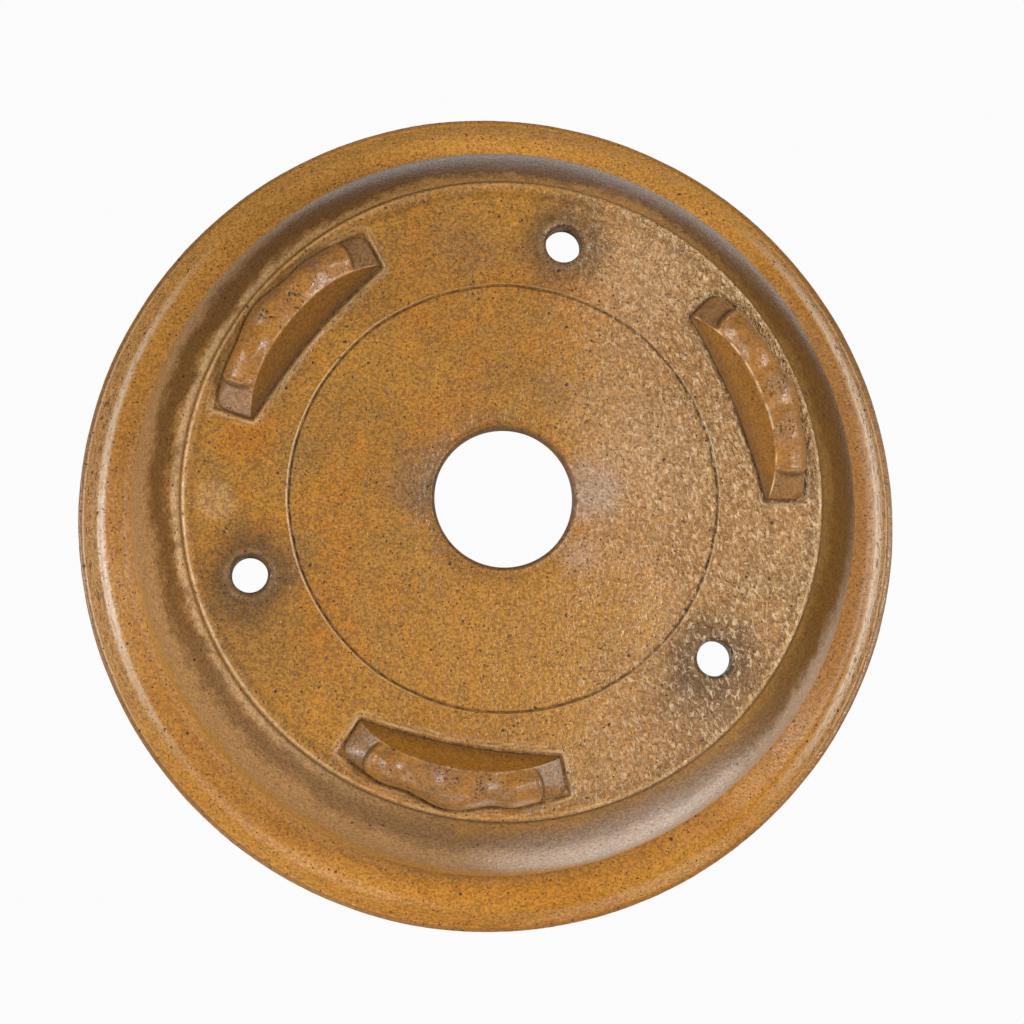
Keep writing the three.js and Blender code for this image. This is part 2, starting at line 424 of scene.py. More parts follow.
# %% Specks, grain and dust
SPECK_COLOUR = (0.040, 0.018, 0.011, 1.0)
FLECK_COLOUR = (0.72, 0.60, 0.44, 1.0)
DARK_GRAIN = (0.42, 0.40, 0.50, 1.0)
PALE_GRAIN = (1.55, 1.65, 2.00, 1.0)
GRAIN_SIZE = 0.8


def speckled(tree, place, colour, height, density):
    """Lays small and large burnt specks and a few pale flecks on a colour, and sinks the specks a little."""
    wobble = put(tree, "ShaderNodeTexNoise", {"Vector": place, "Scale": 0.9 / MM, "Detail": 1.0})
    wobble = wobble.outputs["Color"]
    place = combined(tree, "ADD", place, scaled(tree, wobble, 1.5 * MM))
    small = specks(tree, place, 1.8, 0.50, density)
    large = specks(tree, place, 6.0, 0.95, 0.8 * density)
    pale = specks(tree, place, 9.0, 0.45, 0.4)
    burnt = calc(tree, "MAXIMUM", small, large)
    colour = blend(tree, times(tree, burnt, 0.9), colour, SPECK_COLOUR)
    colour = blend(tree, times(tree, pale, 0.6), colour, FLECK_COLOUR)
    return colour, calc(tree, "SUBTRACT", height, times(tree, burnt, 0.12))


def dusty(tree, crease, roughness):
    """Creases and bores are never worn smooth, so they stay dull."""
    return calc(tree, "MAXIMUM", roughness, ramp(tree, crease, 0.2, 0.8, 0.0, 0.95))


def sandy(tree, place):
    """The grain's shade and its height, both around a half."""
    node = put(tree, "ShaderNodeGroup", {"Vector": place, "Size mm": GRAIN_SIZE}, node_tree=grain_group)
    return node.outputs["Grain"], node.outputs["Lift"]


def grain_sheen(tree, grain, dark_grain, pale_grain):
    """The roughness of unpolished clay, for the darkest and for the palest grains."""
    return ramp(tree, grain, 0.3, 0.7, dark_grain, pale_grain)


def shaded(tree, colour, grain, depth):
    """Dark grains are a burnt version of the clay's colour, and light ones a tan version."""
    grains = blend(tree, ramp(tree, grain, 0.30, 0.70), DARK_GRAIN, PALE_GRAIN)
    return blend(tree, depth, colour, grains, mode="MULTIPLY")


print("speck, grain and dust helpers ready")

# %% [markdown]
# Bands and sides
#
# The fire came from one side and use wore others, so many colours sit in a band up the profile or on
# one side of the pot. A side is named by its angle in the photograph, anticlockwise from right.


# %% Bands and sides
def band(tree, along, start, end, soft):
    """One between two heights up the profile, with soft borders."""
    rise = ramp(tree, along, start - soft, start + soft)
    return times(tree, rise, ramp(tree, along, end - soft, end + soft, 1.0, 0.0))


def outward(tree, place):
    """The level direction from the pot's axis out to a point, with length one."""
    return first(put(tree, "ShaderNodeVectorMath", {"Vector": levelled(tree, place)}, operation="NORMALIZE"))


def towards(tree, place, image_angle):
    """One on the side of the pot that lies at this angle in the photograph, minus one on the far side."""
    side = (*polar(1.0, photo_azimuth(image_angle)), 0.0)
    return reach_along(tree, outward(tree, place), side)


def facing(tree, place, image_angle, low, high, to_low=0.0, to_high=1.0):
    """A smooth step round the pot, towards the side at this angle in the photograph."""
    return ramp(tree, towards(tree, place, image_angle), low, high, to_low, to_high)


print("band and side helpers ready")

# %% [markdown]
# The clay of the slab
#
# The underside is the best lit part of the photograph. It is ochre inside the cut circle, deeper
# orange and grey-brown in clouds outside it, with grey halos round the holes. To the right the skin
# is finely wrinkled and paler, partly pale clay and partly painted sheen. Its crests carry painted
# highlights and its hollows painted shade. The mesh carries two numbers, for the painted highlights
# on the ridges and the painted shade in the creases and seams of the relief.

# %% Slab colours and skin
OCHRE = (0.445, 0.190, 0.022, 1.0)
ORANGE = (0.425, 0.148, 0.010, 1.0)
OLIVE_BROWN = (0.29, 0.140, 0.028, 1.0)
ASH_GREY = (0.185, 0.105, 0.052, 1.0)
PALE_HAZE_AND_SHEEN = (0.46, 0.285, 0.160, 1.0)
PALE_CLAY_AND_SHEEN = (0.54, 0.300, 0.115, 1.0)
CREASE_SHADE = (0.060, 0.026, 0.007, 1.0)
HIGHLIGHT_TAN = (0.92, 0.62, 0.32, 1.0)
CREST_HIGHLIGHT = (0.98, 0.70, 0.42, 1.0)
HOLLOW_SHADE = (0.22, 0.085, 0.016, 1.0)
HOLE_HAZE = (0.115, 0.055, 0.019, 1.0)
WRINKLE_TURN = math.radians(30)
WRINKLE_SIZE = 1.35
ROUGH_SIDE_REACH = 95
HALO_REACH = 12
TIE_HALO_REACH = 18
CALM_SPOT = photo_point(54, -44)
# The pale haze and pale clay patches to the right of the middle are partly painted sheen.
SLAB_PATCHES = (
    (ASH_GREY, 0.55, (-38, 8), 3, 24),
    (ASH_GREY, 0.25, (-20, 108), 4, 28),
    (OLIVE_BROWN, 0.60, (-108, -60), 8, 38),
    (ASH_GREY, 0.45, (80, -84), 4, 30),
    (ORANGE, 0.70, (-110, 26), 5, 20),
    (OCHRE, 0.80, (4, -62), 22, 62),
    (PALE_CLAY_AND_SHEEN, 0.45, (-122, -2), 5, 11),
    (OLIVE_BROWN, 0.55, (-62, 98), 6, 36),
    (OLIVE_BROWN, 0.50, (-112, -36), 4, 26),
    (PALE_CLAY_AND_SHEEN, 0.50, (62, 96), 8, 34),
    (PALE_CLAY_AND_SHEEN, 0.60, (66, 20), 8, 40),
    (PALE_HAZE_AND_SHEEN, 0.90, (37, 3), 3, 19),
    (PALE_HAZE_AND_SHEEN, 0.50, (31, -24), 2, 13),
    (OCHRE, 0.70, (-66, -92), 6, 26),
)


def slab_ground(tree, place, rightness):
    """The slab's colour before its grain: fire clouds, paler clay to the right, and patches."""
    mottle = cloudy(tree, place, 7.0, 0.38, 0.62, 2.0)
    warm = cloudy(tree, place, 42.0, 0.42, 0.62, 1.0)
    dull = cloudy(tree, place, 24.0, 0.45, 0.68, 4.0)
    colour = blend(tree, times(tree, warm, 0.7), OCHRE, ORANGE)
    colour = blend(tree, times(tree, dull, 0.75), colour, OLIVE_BROWN)
    colour = blend(tree, times(tree, mottle, 0.32), colour, OLIVE_BROWN)
    # Paler to the right: partly pale clay, partly painted sheen.
    colour = blend(tree, times(tree, rightness, 0.52), colour, PALE_CLAY_AND_SHEEN)
    for patch_colour, strength, spot, inner, outer in SLAB_PATCHES:
        patch = haze(tree, place, photo_point(*spot), inner, outer, 0.5 * outer)
        colour = blend(tree, times(tree, patch, strength), colour, patch_colour)
    return colour


def hole_halos(tree, place):
    halo = haze(tree, place, (0, 0), DRAIN_RADIUS + 1, DRAIN_RADIUS + 1 + HALO_REACH)
    halo = times(tree, halo, facing(tree, place, 0, -0.3, 0.7, 0.45, 0.05))
    for centre in TIE_CENTRES:
        ring = haze(tree, place, centre, TIE_RADIUS + 1, TIE_RADIUS + 1 + TIE_HALO_REACH)
        halo = calc(tree, "MAXIMUM", halo, ring)
    return halo


def wrinkled(tree, place, colour, rightness):
    """Paints highlights on the tops of the skin's folds and shade between them, and gives the height."""
    drawn = {"Stretch": (1.0, 0.5, 1.0), "Turn": WRINKLE_TURN, "Size mm": WRINKLE_SIZE, "Detail": 2.0}
    skin = group(tree, streak_group, {"Vector": place, **drawn})
    calm = ramp(tree, haze(tree, place, CALM_SPOT, 10, 30), 0.0, 1.0, 1.0, 0.25)
    crinkled = times(tree, rightness, calm)
    # Painted highlights on the tops of the skin's folds and painted shade between them.
    crest_highlight = times(tree, ramp(tree, skin, 0.51, 0.69, 0.0, 0.66), crinkled)
    colour = blend(tree, crest_highlight, colour, CREST_HIGHLIGHT)
    hollow_shade = times(tree, ramp(tree, skin, 0.33, 0.48, 0.45, 0.0), crinkled)
    colour = blend(tree, hollow_shade, colour, HOLLOW_SHADE)
    wrinkling = times(tree, ramp(tree, rightness, 0.0, 1.0, 0.30, 2.6), calm)
    return colour, times(tree, skin, wrinkling)


print("slab patches:", len(SLAB_PATCHES))

# %% [markdown]
# The slab's material
#
# The layers go on from the ground up: the fire's colours, the ash halos, the grain, the painted
# highlights on the ridges and painted shade in the creases, the wrinkled skin with its painted
# highlights and shade, and last the specks. The right side is also polished.


# %% Slab material
def slab_clay():
    material, tree, shader, bump, place = clay("slab_clay", 0.5)
    grain, lift = sandy(tree, place)
    rightness = ramp(tree, reach_along(tree, place, (*PHOTO_RIGHT, 0.0)), 0.0, ROUGH_SIDE_REACH * MM)
    colour = slab_ground(tree, place, rightness)
    colour = blend(tree, times(tree, hole_halos(tree, place), 0.8), colour, HOLE_HAZE)
    colour = shaded(tree, colour, grain, 0.52)
    # Painted highlights on the burr round the cut circle, the beads and the brim.
    colour = blend(tree, painted(tree, "ridge_highlight"), colour, HIGHLIGHT_TAN)
    crease = painted(tree, "crease")
    # Painted shade in the creases, the cut circle, the trough and the bores.
    colour = blend(tree, times(tree, crease, 0.9), colour, CREASE_SHADE)
    colour, wrinkles = wrinkled(tree, place, colour, rightness)
    height = calc(tree, "ADD", times(tree, lift, 0.22), wrinkles)
    colour, height = speckled(tree, place, colour, height, 0.85)
    polish = times(tree, rightness, 0.15)
    roughness = calc(tree, "SUBTRACT", grain_sheen(tree, grain, 0.43, 0.31), polish)
    roughness = dusty(tree, crease, roughness)
    finish_clay(tree, shader, bump, colour, roughness, height)
    return material


SLAB_CLAY = slab_clay()
print("slab clay has", len(SLAB_CLAY.node_tree.nodes), "nodes")

# %% [markdown]
# The clay of the wall
#
# The belly took the flame. Next to the slab a ragged strip stayed orange, darker on the right and at
# the bottom, with a painted highlight along it on the left and painted shade in the crease at the
# slab. Then the wall is scorched dark brown, darker on the right with painted shade. A pale band
# follows, partly ash and partly painted sheen, and towards the neck it is orange again. The piece
# carries an attribute, along, that says how many millimetres up the outside a point is, so the bands
# follow the profile exactly.

# %% Wall clay
SCORCHED = (0.212, 0.090, 0.019, 1.0)
SCORCH_IN_SHADE = (0.165, 0.068, 0.009, 1.0)
WARM_SCORCH = (0.290, 0.150, 0.055, 1.0)
SMOKED = (0.24, 0.110, 0.022, 1.0)
PALE_DUST_AND_SHEEN = (0.49, 0.245, 0.078, 1.0)
GREY_DUST_AND_SHEEN = (0.46, 0.315, 0.200, 1.0)
STRIP_TAN = (0.51, 0.245, 0.064, 1.0)
STRIP_HIGHLIGHT = (0.68, 0.43, 0.20, 1.0)
WALL_ORANGE = (0.48, 0.210, 0.036, 1.0)
INNER_CLAY = (0.40, 0.185, 0.058, 1.0)
WALL_EDGE_ALONG = 79.6


def wall_clay():
    material, tree, shader, bump, place = clay("wall_clay", 0.5)
    along = painted(tree, "along")
    grain, lift = sandy(tree, place)
    broad = cloudy(tree, place, 26.0, 0.3, 0.7, 7.0)
    fine = cloudy(tree, place, 5.0, 0.3, 0.7, 9.0)
    fringe = calc(tree, "ADD", times(tree, broad, 8.0), times(tree, fine, 4.5))
    ragged = calc(tree, "ADD", along, calc(tree, "SUBTRACT", fringe, 6.2))
    right_side = facing(tree, place, 5, 0.45, 0.85)
    low_side = facing(tree, place, 275, 0.3, 0.95, 0.0, 0.65)
    colour = blend(tree, times(tree, fine, 0.6), STRIP_TAN, WALL_ORANGE)
    # A painted highlight along the strip on the left.
    highlight_side = facing(tree, place, 185, 0.2, 0.9, 0.0, 0.7)
    bead_highlight = times(tree, highlight_side, band(tree, along, 3.2, 7.5, 1.6))
    colour = blend(tree, bead_highlight, colour, STRIP_HIGHLIGHT)
    colour = blend(tree, calc(tree, "MAXIMUM", right_side, low_side), colour, SMOKED)
    # Painted shade makes the scorch darker on the right.
    scorched = blend(tree, right_side, SCORCHED, SCORCH_IN_SHADE)
    scorched = blend(tree, facing(tree, place, 265, 0.2, 0.85, 0.0, 0.70), scorched, WARM_SCORCH)
    # The pale band is partly ash and partly painted sheen, and greyer away from the lower left.
    dust_and_sheen_colour = blend(tree, facing(tree, place, 205, -0.2, 0.8, 0.7, 0.0), PALE_DUST_AND_SHEEN, GREY_DUST_AND_SHEEN)
    dust_and_sheen_sides = facing(tree, place, 235, -0.6, -0.1, 0.0, 1.0)
    early = facing(tree, place, 250, -0.2, 0.8, 0.0, 7.0)
    dust_and_sheen = ramp(tree, calc(tree, "ADD", ragged, early), 22.0, 37.0)
    burnt = blend(tree, times(tree, dust_and_sheen, dust_and_sheen_sides), scorched, dust_and_sheen_colour)
    colour = blend(tree, ramp(tree, ragged, 3.0, 12.0), colour, burnt)
    unburnt = facing(tree, place, 215, -0.1, 0.6, 54.0, 39.0)
    fading = ramp(tree, calc(tree, "SUBTRACT", ragged, unburnt), 0.0, 13.0)
    colour = blend(tree, fading, colour, WALL_ORANGE)
    colour = blend(tree, ramp(tree, along, WALL_EDGE_ALONG, WALL_EDGE_ALONG + 10.0), colour, INNER_CLAY)
    colour = shaded(tree, colour, grain, 0.42)
    # Painted shade in the crease at the slab.
    crease = ramp(tree, along, 0.8, 3.2, 0.9, 0.0)
    colour = blend(tree, crease, colour, CREASE_SHADE)
    colour, height = speckled(tree, place, colour, times(tree, lift, 0.20), 0.6)
    roughness = dusty(tree, crease, grain_sheen(tree, grain, 0.36, 0.25))
    finish_clay(tree, shader, bump, colour, roughness, height)
    return material


WALL_CLAY = wall_clay()
print("wall clay has", len(WALL_CLAY.node_tree.nodes), "nodes")

# %% [markdown]
# The clay of the rim
#
# The flat underside of the lip is the cleanest orange on the pot. It has painted shade near the neck
# and on the right, and painted light at the bottom left and at the top. Its sloping face was rubbed
# with a wet cloth and dragged: it has fine streaks round the pot, rough grain and tiny chips, and it
# is tan on the left and on the right. There, painted highlights run along the bend and along the
# edge. Painted shade darkens the outer edge all round.

# %% Rim clay
LIP_ORANGE = (0.58, 0.252, 0.034, 1.0)
LIP_LIT = (0.70, 0.325, 0.060, 1.0)
LIP_SHADE = (0.36, 0.145, 0.014, 1.0)
LIP_TAN = (0.50, 0.270, 0.100, 1.0)
LIP_HIGHLIGHT = (0.76, 0.56, 0.38, 1.0)
CHIPPED = (0.14, 0.060, 0.020, 1.0)
EDGE_SHADE = (0.20, 0.095, 0.030, 1.0)
NECK_END = 17.0
UNDERSIDE_END = 31.0
FACE_END = 41.0


def rim_clay():
    material, tree, shader, bump, place = clay("rim_clay", 0.5)
    along = painted(tree, "along")
    grain, lift = sandy(tree, place)
    clouds = cloudy(tree, place, 34.0, 0.38, 0.66, 12.0)
    streaks = round_streaks(tree, place, along)
    left = facing(tree, place, 178, 0.70, 0.98)
    right = facing(tree, place, 2, 0.60, 0.95)
    left_and_right = calc(tree, "MAXIMUM", left, right)
    colour = blend(tree, times(tree, clouds, 0.5), LIP_ORANGE, ORANGE)
    # Painted shade near the neck, under the belly, and on the right.
    colour = blend(tree, ramp(tree, along, NECK_END - 2.0, NECK_END + 9.0, 0.7, 0.0), colour, LIP_SHADE)
    colour = blend(tree, times(tree, right, 0.9), colour, LIP_SHADE)
    # Painted light on the lower left and at the top.
    colour = blend(tree, facing(tree, place, 212, 0.55, 1.0, 0.0, 0.30), colour, LIP_LIT)
    colour = blend(tree, facing(tree, place, 100, 0.3, 0.9, 0.0, 0.75), colour, LIP_LIT)
    face = band(tree, along, UNDERSIDE_END + 1.5, FACE_END + 0.7, 1.2)
    dragged = times(tree, face, left_and_right)
    colour = blend(tree, times(tree, dragged, 0.6), colour, LIP_TAN)
    colour = shaded(tree, colour, grain, 0.46)
    # Painted highlights along the bend and along the edge, on the left and on the right.
    left_sheen = times(tree, left, band(tree, along, 28.9, 32.4, 1.0))
    right_sheen = times(tree, right, band(tree, along, 31.0, 36.8, 1.8))
    broken = ramp(tree, streaks, 0.36, 0.54, 0.35, 0.95)
    sheen = times(tree, calc(tree, "MAXIMUM", left_sheen, right_sheen), broken)
    left_line = times(tree, left, band(tree, along, 42.1, 43.1, 0.4))
    right_line = times(tree, right, band(tree, along, 40.3, 41.7, 0.3))
    line = times(tree, calc(tree, "MAXIMUM", left_line, right_line), 0.6)
    # Painted shade darkens the outer edge all round.
    colour = blend(tree, ramp(tree, along, 42.2, 43.4, 0.0, 0.60), colour, EDGE_SHADE)
    colour = blend(tree, calc(tree, "MAXIMUM", sheen, line), colour, LIP_HIGHLIGHT)
    chips = times(tree, dragged, ramp(tree, streaks, 0.55, 0.62))
    colour = blend(tree, times(tree, chips, 0.75), colour, CHIPPED)
    streak_depth = ramp(tree, left_and_right, 0.0, 1.0, -0.2, -1.1)
    rough_face = times(tree, times(tree, streaks, face), streak_depth)
    height = calc(tree, "ADD", times(tree, lift, 0.15), rough_face)
    colour, height = speckled(tree, place, colour, height, 0.85)
    roughness = grain_sheen(tree, grain, 0.36, 0.26)
    roughness = calc(tree, "MAXIMUM", roughness, ramp(tree, along, NECK_END, NECK_END + 5.0, 0.65, 0.0))
    dull_right = times(tree, right, ramp(tree, along, 25.0, 31.0, 0.70, 0.0))
    roughness = calc(tree, "MAXIMUM", roughness, dull_right)
    finish_clay(tree, shader, bump, colour, roughness, height)
    return material


def round_streaks(tree, place, along):
    """Noise drawn out round the pot: it changes quickly up the profile and slowly round the axis."""
    round_the_axis = scaled(tree, outward(tree, place), 34.0)
    up_the_profile = first(put(tree, "ShaderNodeCombineXYZ", {"Z": times(tree, along, 0.62)}))
    point = combined(tree, "ADD", round_the_axis, up_the_profile)
    noise_inputs = {"Vector": point, "Scale": 1.0, "Detail": 4.0, "Roughness": 0.62}
    return first(put(tree, "ShaderNodeTexNoise", noise_inputs))


RIM_CLAY = rim_clay()
print("rim clay has", len(RIM_CLAY.node_tree.nodes), "nodes")

# %% [markdown]
# The clay of the feet
#
# The feet were burnished with a wet finger, so they shine more. The middle of each is rubbed dark
# where the pot stands, its flat inner face is deeper in colour, and the tabs at its ends are greyer.
# A painted highlight runs along the ridge over the inner face, and painted shade lies in the creases,
# along the steps, low on the inner face and on the inner face of one foot. The mesh carries a number
# for each of them.

# %% Foot clay
FOOT_OCHRE = (0.41, 0.170, 0.028, 1.0)
FOOT_FACE = (0.34, 0.138, 0.016, 1.0)
FOOT_GREY = (0.25, 0.130, 0.050, 1.0)
WORN_THROUGH = (0.045, 0.028, 0.020, 1.0)


def foot_clay():
    material, tree, shader, bump, place = clay("foot_clay", 0.6)
    inner_face, crease = painted(tree, "inner_face"), painted(tree, "crease")
    grain, lift = sandy(tree, place)
    clouds = cloudy(tree, place, 14.0, 0.42, 0.68, 17.0)
    colour = blend(tree, times(tree, clouds, 0.7), FOOT_OCHRE, FOOT_GREY)
    colour = blend(tree, times(tree, painted(tree, "tab"), 0.6), colour, FOOT_GREY)
    colour = blend(tree, inner_face, colour, FOOT_FACE)
    # Painted shade on the inner face of the foot on one side.
    shadowed = facing(tree, place, 143, 0.6, 0.9, 0.0, 0.45)
    colour = blend(tree, times(tree, inner_face, shadowed), colour, CREASE_SHADE)
    colour = shaded(tree, colour, grain, 0.42)
    pits = cloudy(tree, place, 1.3, 0.54, 0.60, 21.0)
    worn_pits = times(tree, painted(tree, "worn"), pits)
    colour = blend(tree, worn_pits, colour, WORN_THROUGH)
    # A painted highlight along the ridge.
    colour = blend(tree, painted(tree, "ridge_highlight"), colour, HIGHLIGHT_TAN)
    # Painted shade in the creases, along the steps and low on the inner face.
    colour = blend(tree, times(tree, crease, 0.9), colour, CREASE_SHADE)
    height = calc(tree, "ADD", times(tree, lift, 0.14), times(tree, grain, 0.09))
    height = calc(tree, "SUBTRACT", height, times(tree, worn_pits, 0.15))
    colour, height = speckled(tree, place, colour, height, 0.5)
    roughness = dusty(tree, crease, grain_sheen(tree, grain, 0.40, 0.30))
    finish_clay(tree, shader, bump, colour, roughness, height)
    return material


FOOT_CLAY = foot_clay()
print("foot clay has", len(FOOT_CLAY.node_tree.nodes), "nodes")

# %% [markdown]
# Profiles
#
# The wall and the rim were shaped while the pot turned, so each follows one rule: a profile goes
# once round the axis. The profile is a line of points in millimetres. Corners are rounded, and long
# runs are cut into short steps, so that the surface can be uneven later. The outline of a real pot
# is best read off as a few radii and heights with a round at each, and the helpers work that way.


# %% Profile helpers
def new_object(name, data):
    """An object in the scene, at the origin and unturned."""
    item = bpy.data.objects.new(name, data)
    bpy.context.scene.collection.objects.link(item)
    return item


def curved(start, corner_point, end, steps):
    """Points along a round from start to end that bends at the corner."""
    shares = np.linspace(0, 1, steps)
    return [(1 - t) ** 2 * start + 2 * t * (1 - t) * corner_point + t**2 * end for t in shares]


def arc_points(centre, radius, start, end, steps):
    angles = np.linspace(start, end, steps)
    return [(centre[0] + radius * math.cos(a), centre[1] + radius * math.sin(a)) for a in angles]


def rounded(corners, steps=7):
    """A closed outline from corners (radius, height, round). A round takes at most its share of a side."""
    spots = [np.array(c[:2], float) for c in corners]
    points = []
    for i, spot in enumerate(spots):
        size = corners[i][2] if len(corners[i]) > 2 else 0
        if not size:
            points.append(tuple(spot))
            continue
        back, ahead = spots[i - 1] - spot, spots[(i + 1) % len(spots)] - spot
        half = math.acos(back @ ahead / np.linalg.norm(back) / np.linalg.norm(ahead)) / 2
        reach = min(size / math.tan(half), 0.9 * min(np.linalg.norm(back), np.linalg.norm(ahead)))
        start = spot + back / np.linalg.norm(back) * reach
        end = spot + ahead / np.linalg.norm(ahead) * reach
        points += [tuple(point) for point in curved(start, spot, end, steps)]
    return points


def even_steps(points, step):
    """Adds points on long sides, so that none is longer than step."""
    filled = []
    for a, b in zip(points, points[1:]):
        count = max(1, math.ceil(math.dist(a, b) / step))
        filled += [tuple(np.array(a) + (np.array(b) - np.array(a)) * k / count) for k in range(count)]
    return filled + [points[-1]]


def profile_object(name, points):
    """The profile as a line of vertices that carry their distance along it in millimetres."""
    mesh = bpy.data.meshes.new(name)
    edges = [(i, i + 1) for i in range(len(points) - 1)]
    mesh.from_pydata([(r * MM, 0.0, z * MM) for r, z in points], edges, [])
    steps = [math.dist(a, b) for a, b in zip(points, points[1:])]
    attribute = mesh.attributes.new("along", "FLOAT", "POINT")
    attribute.data.foreach_set("value", np.concatenate([[0.0], np.cumsum(steps)]).astype(np.float32))
    print(name, len(points), "points,", round(sum(steps), 1), "mm long")
    return new_object(name, mesh)


# %% [markdown]
# Turning a profile with Geometry Nodes
#
# A grid has one column for each profile point and one row for each step round the pot. Each grid
# point looks up its profile point by column and is turned by its row. The seams are merged, and a
# noise along the normal gives the unevenness of handwork.

# %% Geometry Nodes tree: turned clay
RIPPLE_SCALE = 420.0
NOISE_MIDDLE = 0.55
turn_tree, given, result = new_tree(
    "Turned clay",
    "GeometryNodeTree",
    [
        ("Geometry", "NodeSocketGeometry", None),
        ("Profile", "NodeSocketObject", None),
        ("Steps round", "NodeSocketInt", 720),
        ("Unevenness", "NodeSocketFloat", 0.0002),
        ("Unevenness scale", "NodeSocketFloat", 40.0),
        ("Ripple", "NodeSocketFloat", 0.00005),
        ("Seed", "NodeSocketFloat", 0.0),
        ("Clay", "NodeSocketMaterial", None),
    ],
    [("Geometry", "NodeSocketGeometry")],
)


def looked_up(tree, line, value, index, kind):
    """What the profile's point with this index carries."""
    sockets = {"Geometry": line, "Value": value, "Index": index}
    return first(put(tree, "GeometryNodeSampleIndex", sockets, data_type=kind))


def build_turn_tree(tree, given, result):
    line = put(tree, "GeometryNodeObjectInfo", {"Object": given["Profile"]}).outputs["Geometry"]
    size = put(tree, "GeometryNodeAttributeDomainSize", {"Geometry": line})
    rows = calc(tree, "ADD", given["Steps round"], 1.0)
    counts = {"Vertices X": size.outputs["Point Count"], "Vertices Y": rows}
    grid = put(tree, "GeometryNodeMeshGrid", {"Size X": 1.0, "Size Y": 1.0, **counts})
    position = first(put(tree, "GeometryNodeInputPosition"))
    spot = put(tree, "ShaderNodeSeparateXYZ", {"Vector": position})
    last = calc(tree, "SUBTRACT", size.outputs["Point Count"], 1.0)
    column = calc(tree, "ROUND", times(tree, calc(tree, "ADD", spot.outputs["X"], 0.5), last))
    angle = times(tree, calc(tree, "ADD", spot.outputs["Y"], 0.5), math.tau)
    place = looked_up(tree, line, position, column, "FLOAT_VECTOR")
    named = first(put(tree, "GeometryNodeInputNamedAttribute", {"Name": "along"}, data_type="FLOAT"))
    along = looked_up(tree, line, named, column, "FLOAT")
    marking = {"Geometry": first(grid), "Name": "along", "Value": along}
    marked = put(tree, "GeometryNodeStoreNamedAttribute", marking, data_type="FLOAT", domain="POINT")
    turned = put(tree, "ShaderNodeVectorRotate", {"Vector": place, "Angle": angle}, rotation_type="Z_AXIS")
    shaped = put(tree, "GeometryNodeSetPosition", {"Geometry": first(marked), "Position": first(turned)})
    joined = put(tree, "GeometryNodeMergeByDistance", {"Geometry": first(shaped), "Distance": 0.02 * MM})
    shift = handwork(tree, given)
    uneven = put(tree, "GeometryNodeSetPosition", {"Geometry": first(joined), "Offset": shift})
    smooth = put(tree, "GeometryNodeSetShadeSmooth", {"Geometry": first(uneven)})
    real = put(tree, "GeometryNodeRealizeInstances", {"Geometry": first(smooth)})
    fired = put(tree, "GeometryNodeSetMaterial", {"Geometry": first(real), "Material": given["Clay"]})
    tree.links.new(first(fired), result["Geometry"])


def handwork(tree, given):
    """Offset along the normal: broad unevenness, and a finer ripple from the fingers."""
    place = first(put(tree, "GeometryNodeInputPosition"))
    parts = []
    for scale, height in ((given["Unevenness scale"], given["Unevenness"]), (RIPPLE_SCALE, given["Ripple"])):
        sockets = {"Vector": place, "W": given["Seed"], "Scale": scale, "Detail": 2.0}
        waver = first(put(tree, "ShaderNodeTexNoise", sockets, noise_dimensions="4D"))
        parts.append(times(tree, calc(tree, "SUBTRACT", waver, NOISE_MIDDLE), height))
    amount = times(tree, calc(tree, "ADD", *parts), 2.0)
    return scaled(tree, first(put(tree, "GeometryNodeInputNormal")), amount)


build_turn_tree(turn_tree, given, result)
print("turning tree has", len(turn_tree.nodes), "nodes")

# %% [markdown]
# From a live tree to a plain piece
#
# A Geometry Nodes tree works as a modifier on an object. Only the finished mesh is wanted here, so
# the tree runs once on a carrier object, its result is taken as a plain mesh and the carrier goes.
# Each input is set by its socket's identifier, because the modifier doesn't know it by its label.


# %% Modifier helpers
def socket_identifier(tree, label):
    return next(s.identifier for s in tree.interface.items_tree if s.in_out == "INPUT" and s.name == label)


def baked_by_nodes(name, start, tree, values):
    """Runs a Geometry Nodes tree on a mesh and gives the result as a plain mesh object."""
    carrier = new_object(name + "_carrier", start)
    modifier = carrier.modifiers.new(name, "NODES")
    modifier.node_group = tree
    for label, value in values.items():
        modifier[socket_identifier(tree, label)] = value
    bpy.context.view_layer.update()
    evaluated = carrier.evaluated_get(bpy.context.evaluated_depsgraph_get())
    mesh = bpy.data.meshes.new_from_object(evaluated)
    carrier.modifiers.remove(modifier)
    bpy.data.objects.remove(carrier)
    mesh.name = name
    return new_object(name, mesh)


def place_piece(piece, node):
    """Ties a finished piece to the solid it stands for."""
    piece.data.calc_loop_triangles()
    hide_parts(node)
    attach(piece, "root")
    print(piece.name, "has", len(piece.data.loop_triangles), "triangles")


print("modifier helpers ready")

# %% [markdown]
# The bellied wall
#
# Outside, one arc swells from the slab's edge and comes upright at the neck. Inside, a second arc
# keeps the wall ten millimetres thick and runs into the floor. On top stands a low tongue, which the
# rim hides. Real clay is fused there, and the tongue stops light from showing through the joint.

# %% Wall profile
BELLY_RISE = BELLY_HEIGHT - (UNDERSIDE + 1.6)
BELLY_INSET = NECK_RADIUS - WALL_FOOT_RADIUS
BELLY_ROUND = (BELLY_INSET**2 + BELLY_RISE**2) / (2 * BELLY_INSET)
BELLY_CENTRE = (NECK_RADIUS - BELLY_ROUND, BELLY_HEIGHT)
INNER_ROUND = BELLY_ROUND - WALL_THICKNESS
FEATHER = (WALL_FOOT_RADIUS - 9.2, FLOOR_TOP + 0.3)
INNER_CORNER = 9.0
TONGUE_HEIGHT = 1.4
TONGUE_INSET = 2.0
TONGUE_SLOPE = 0.5


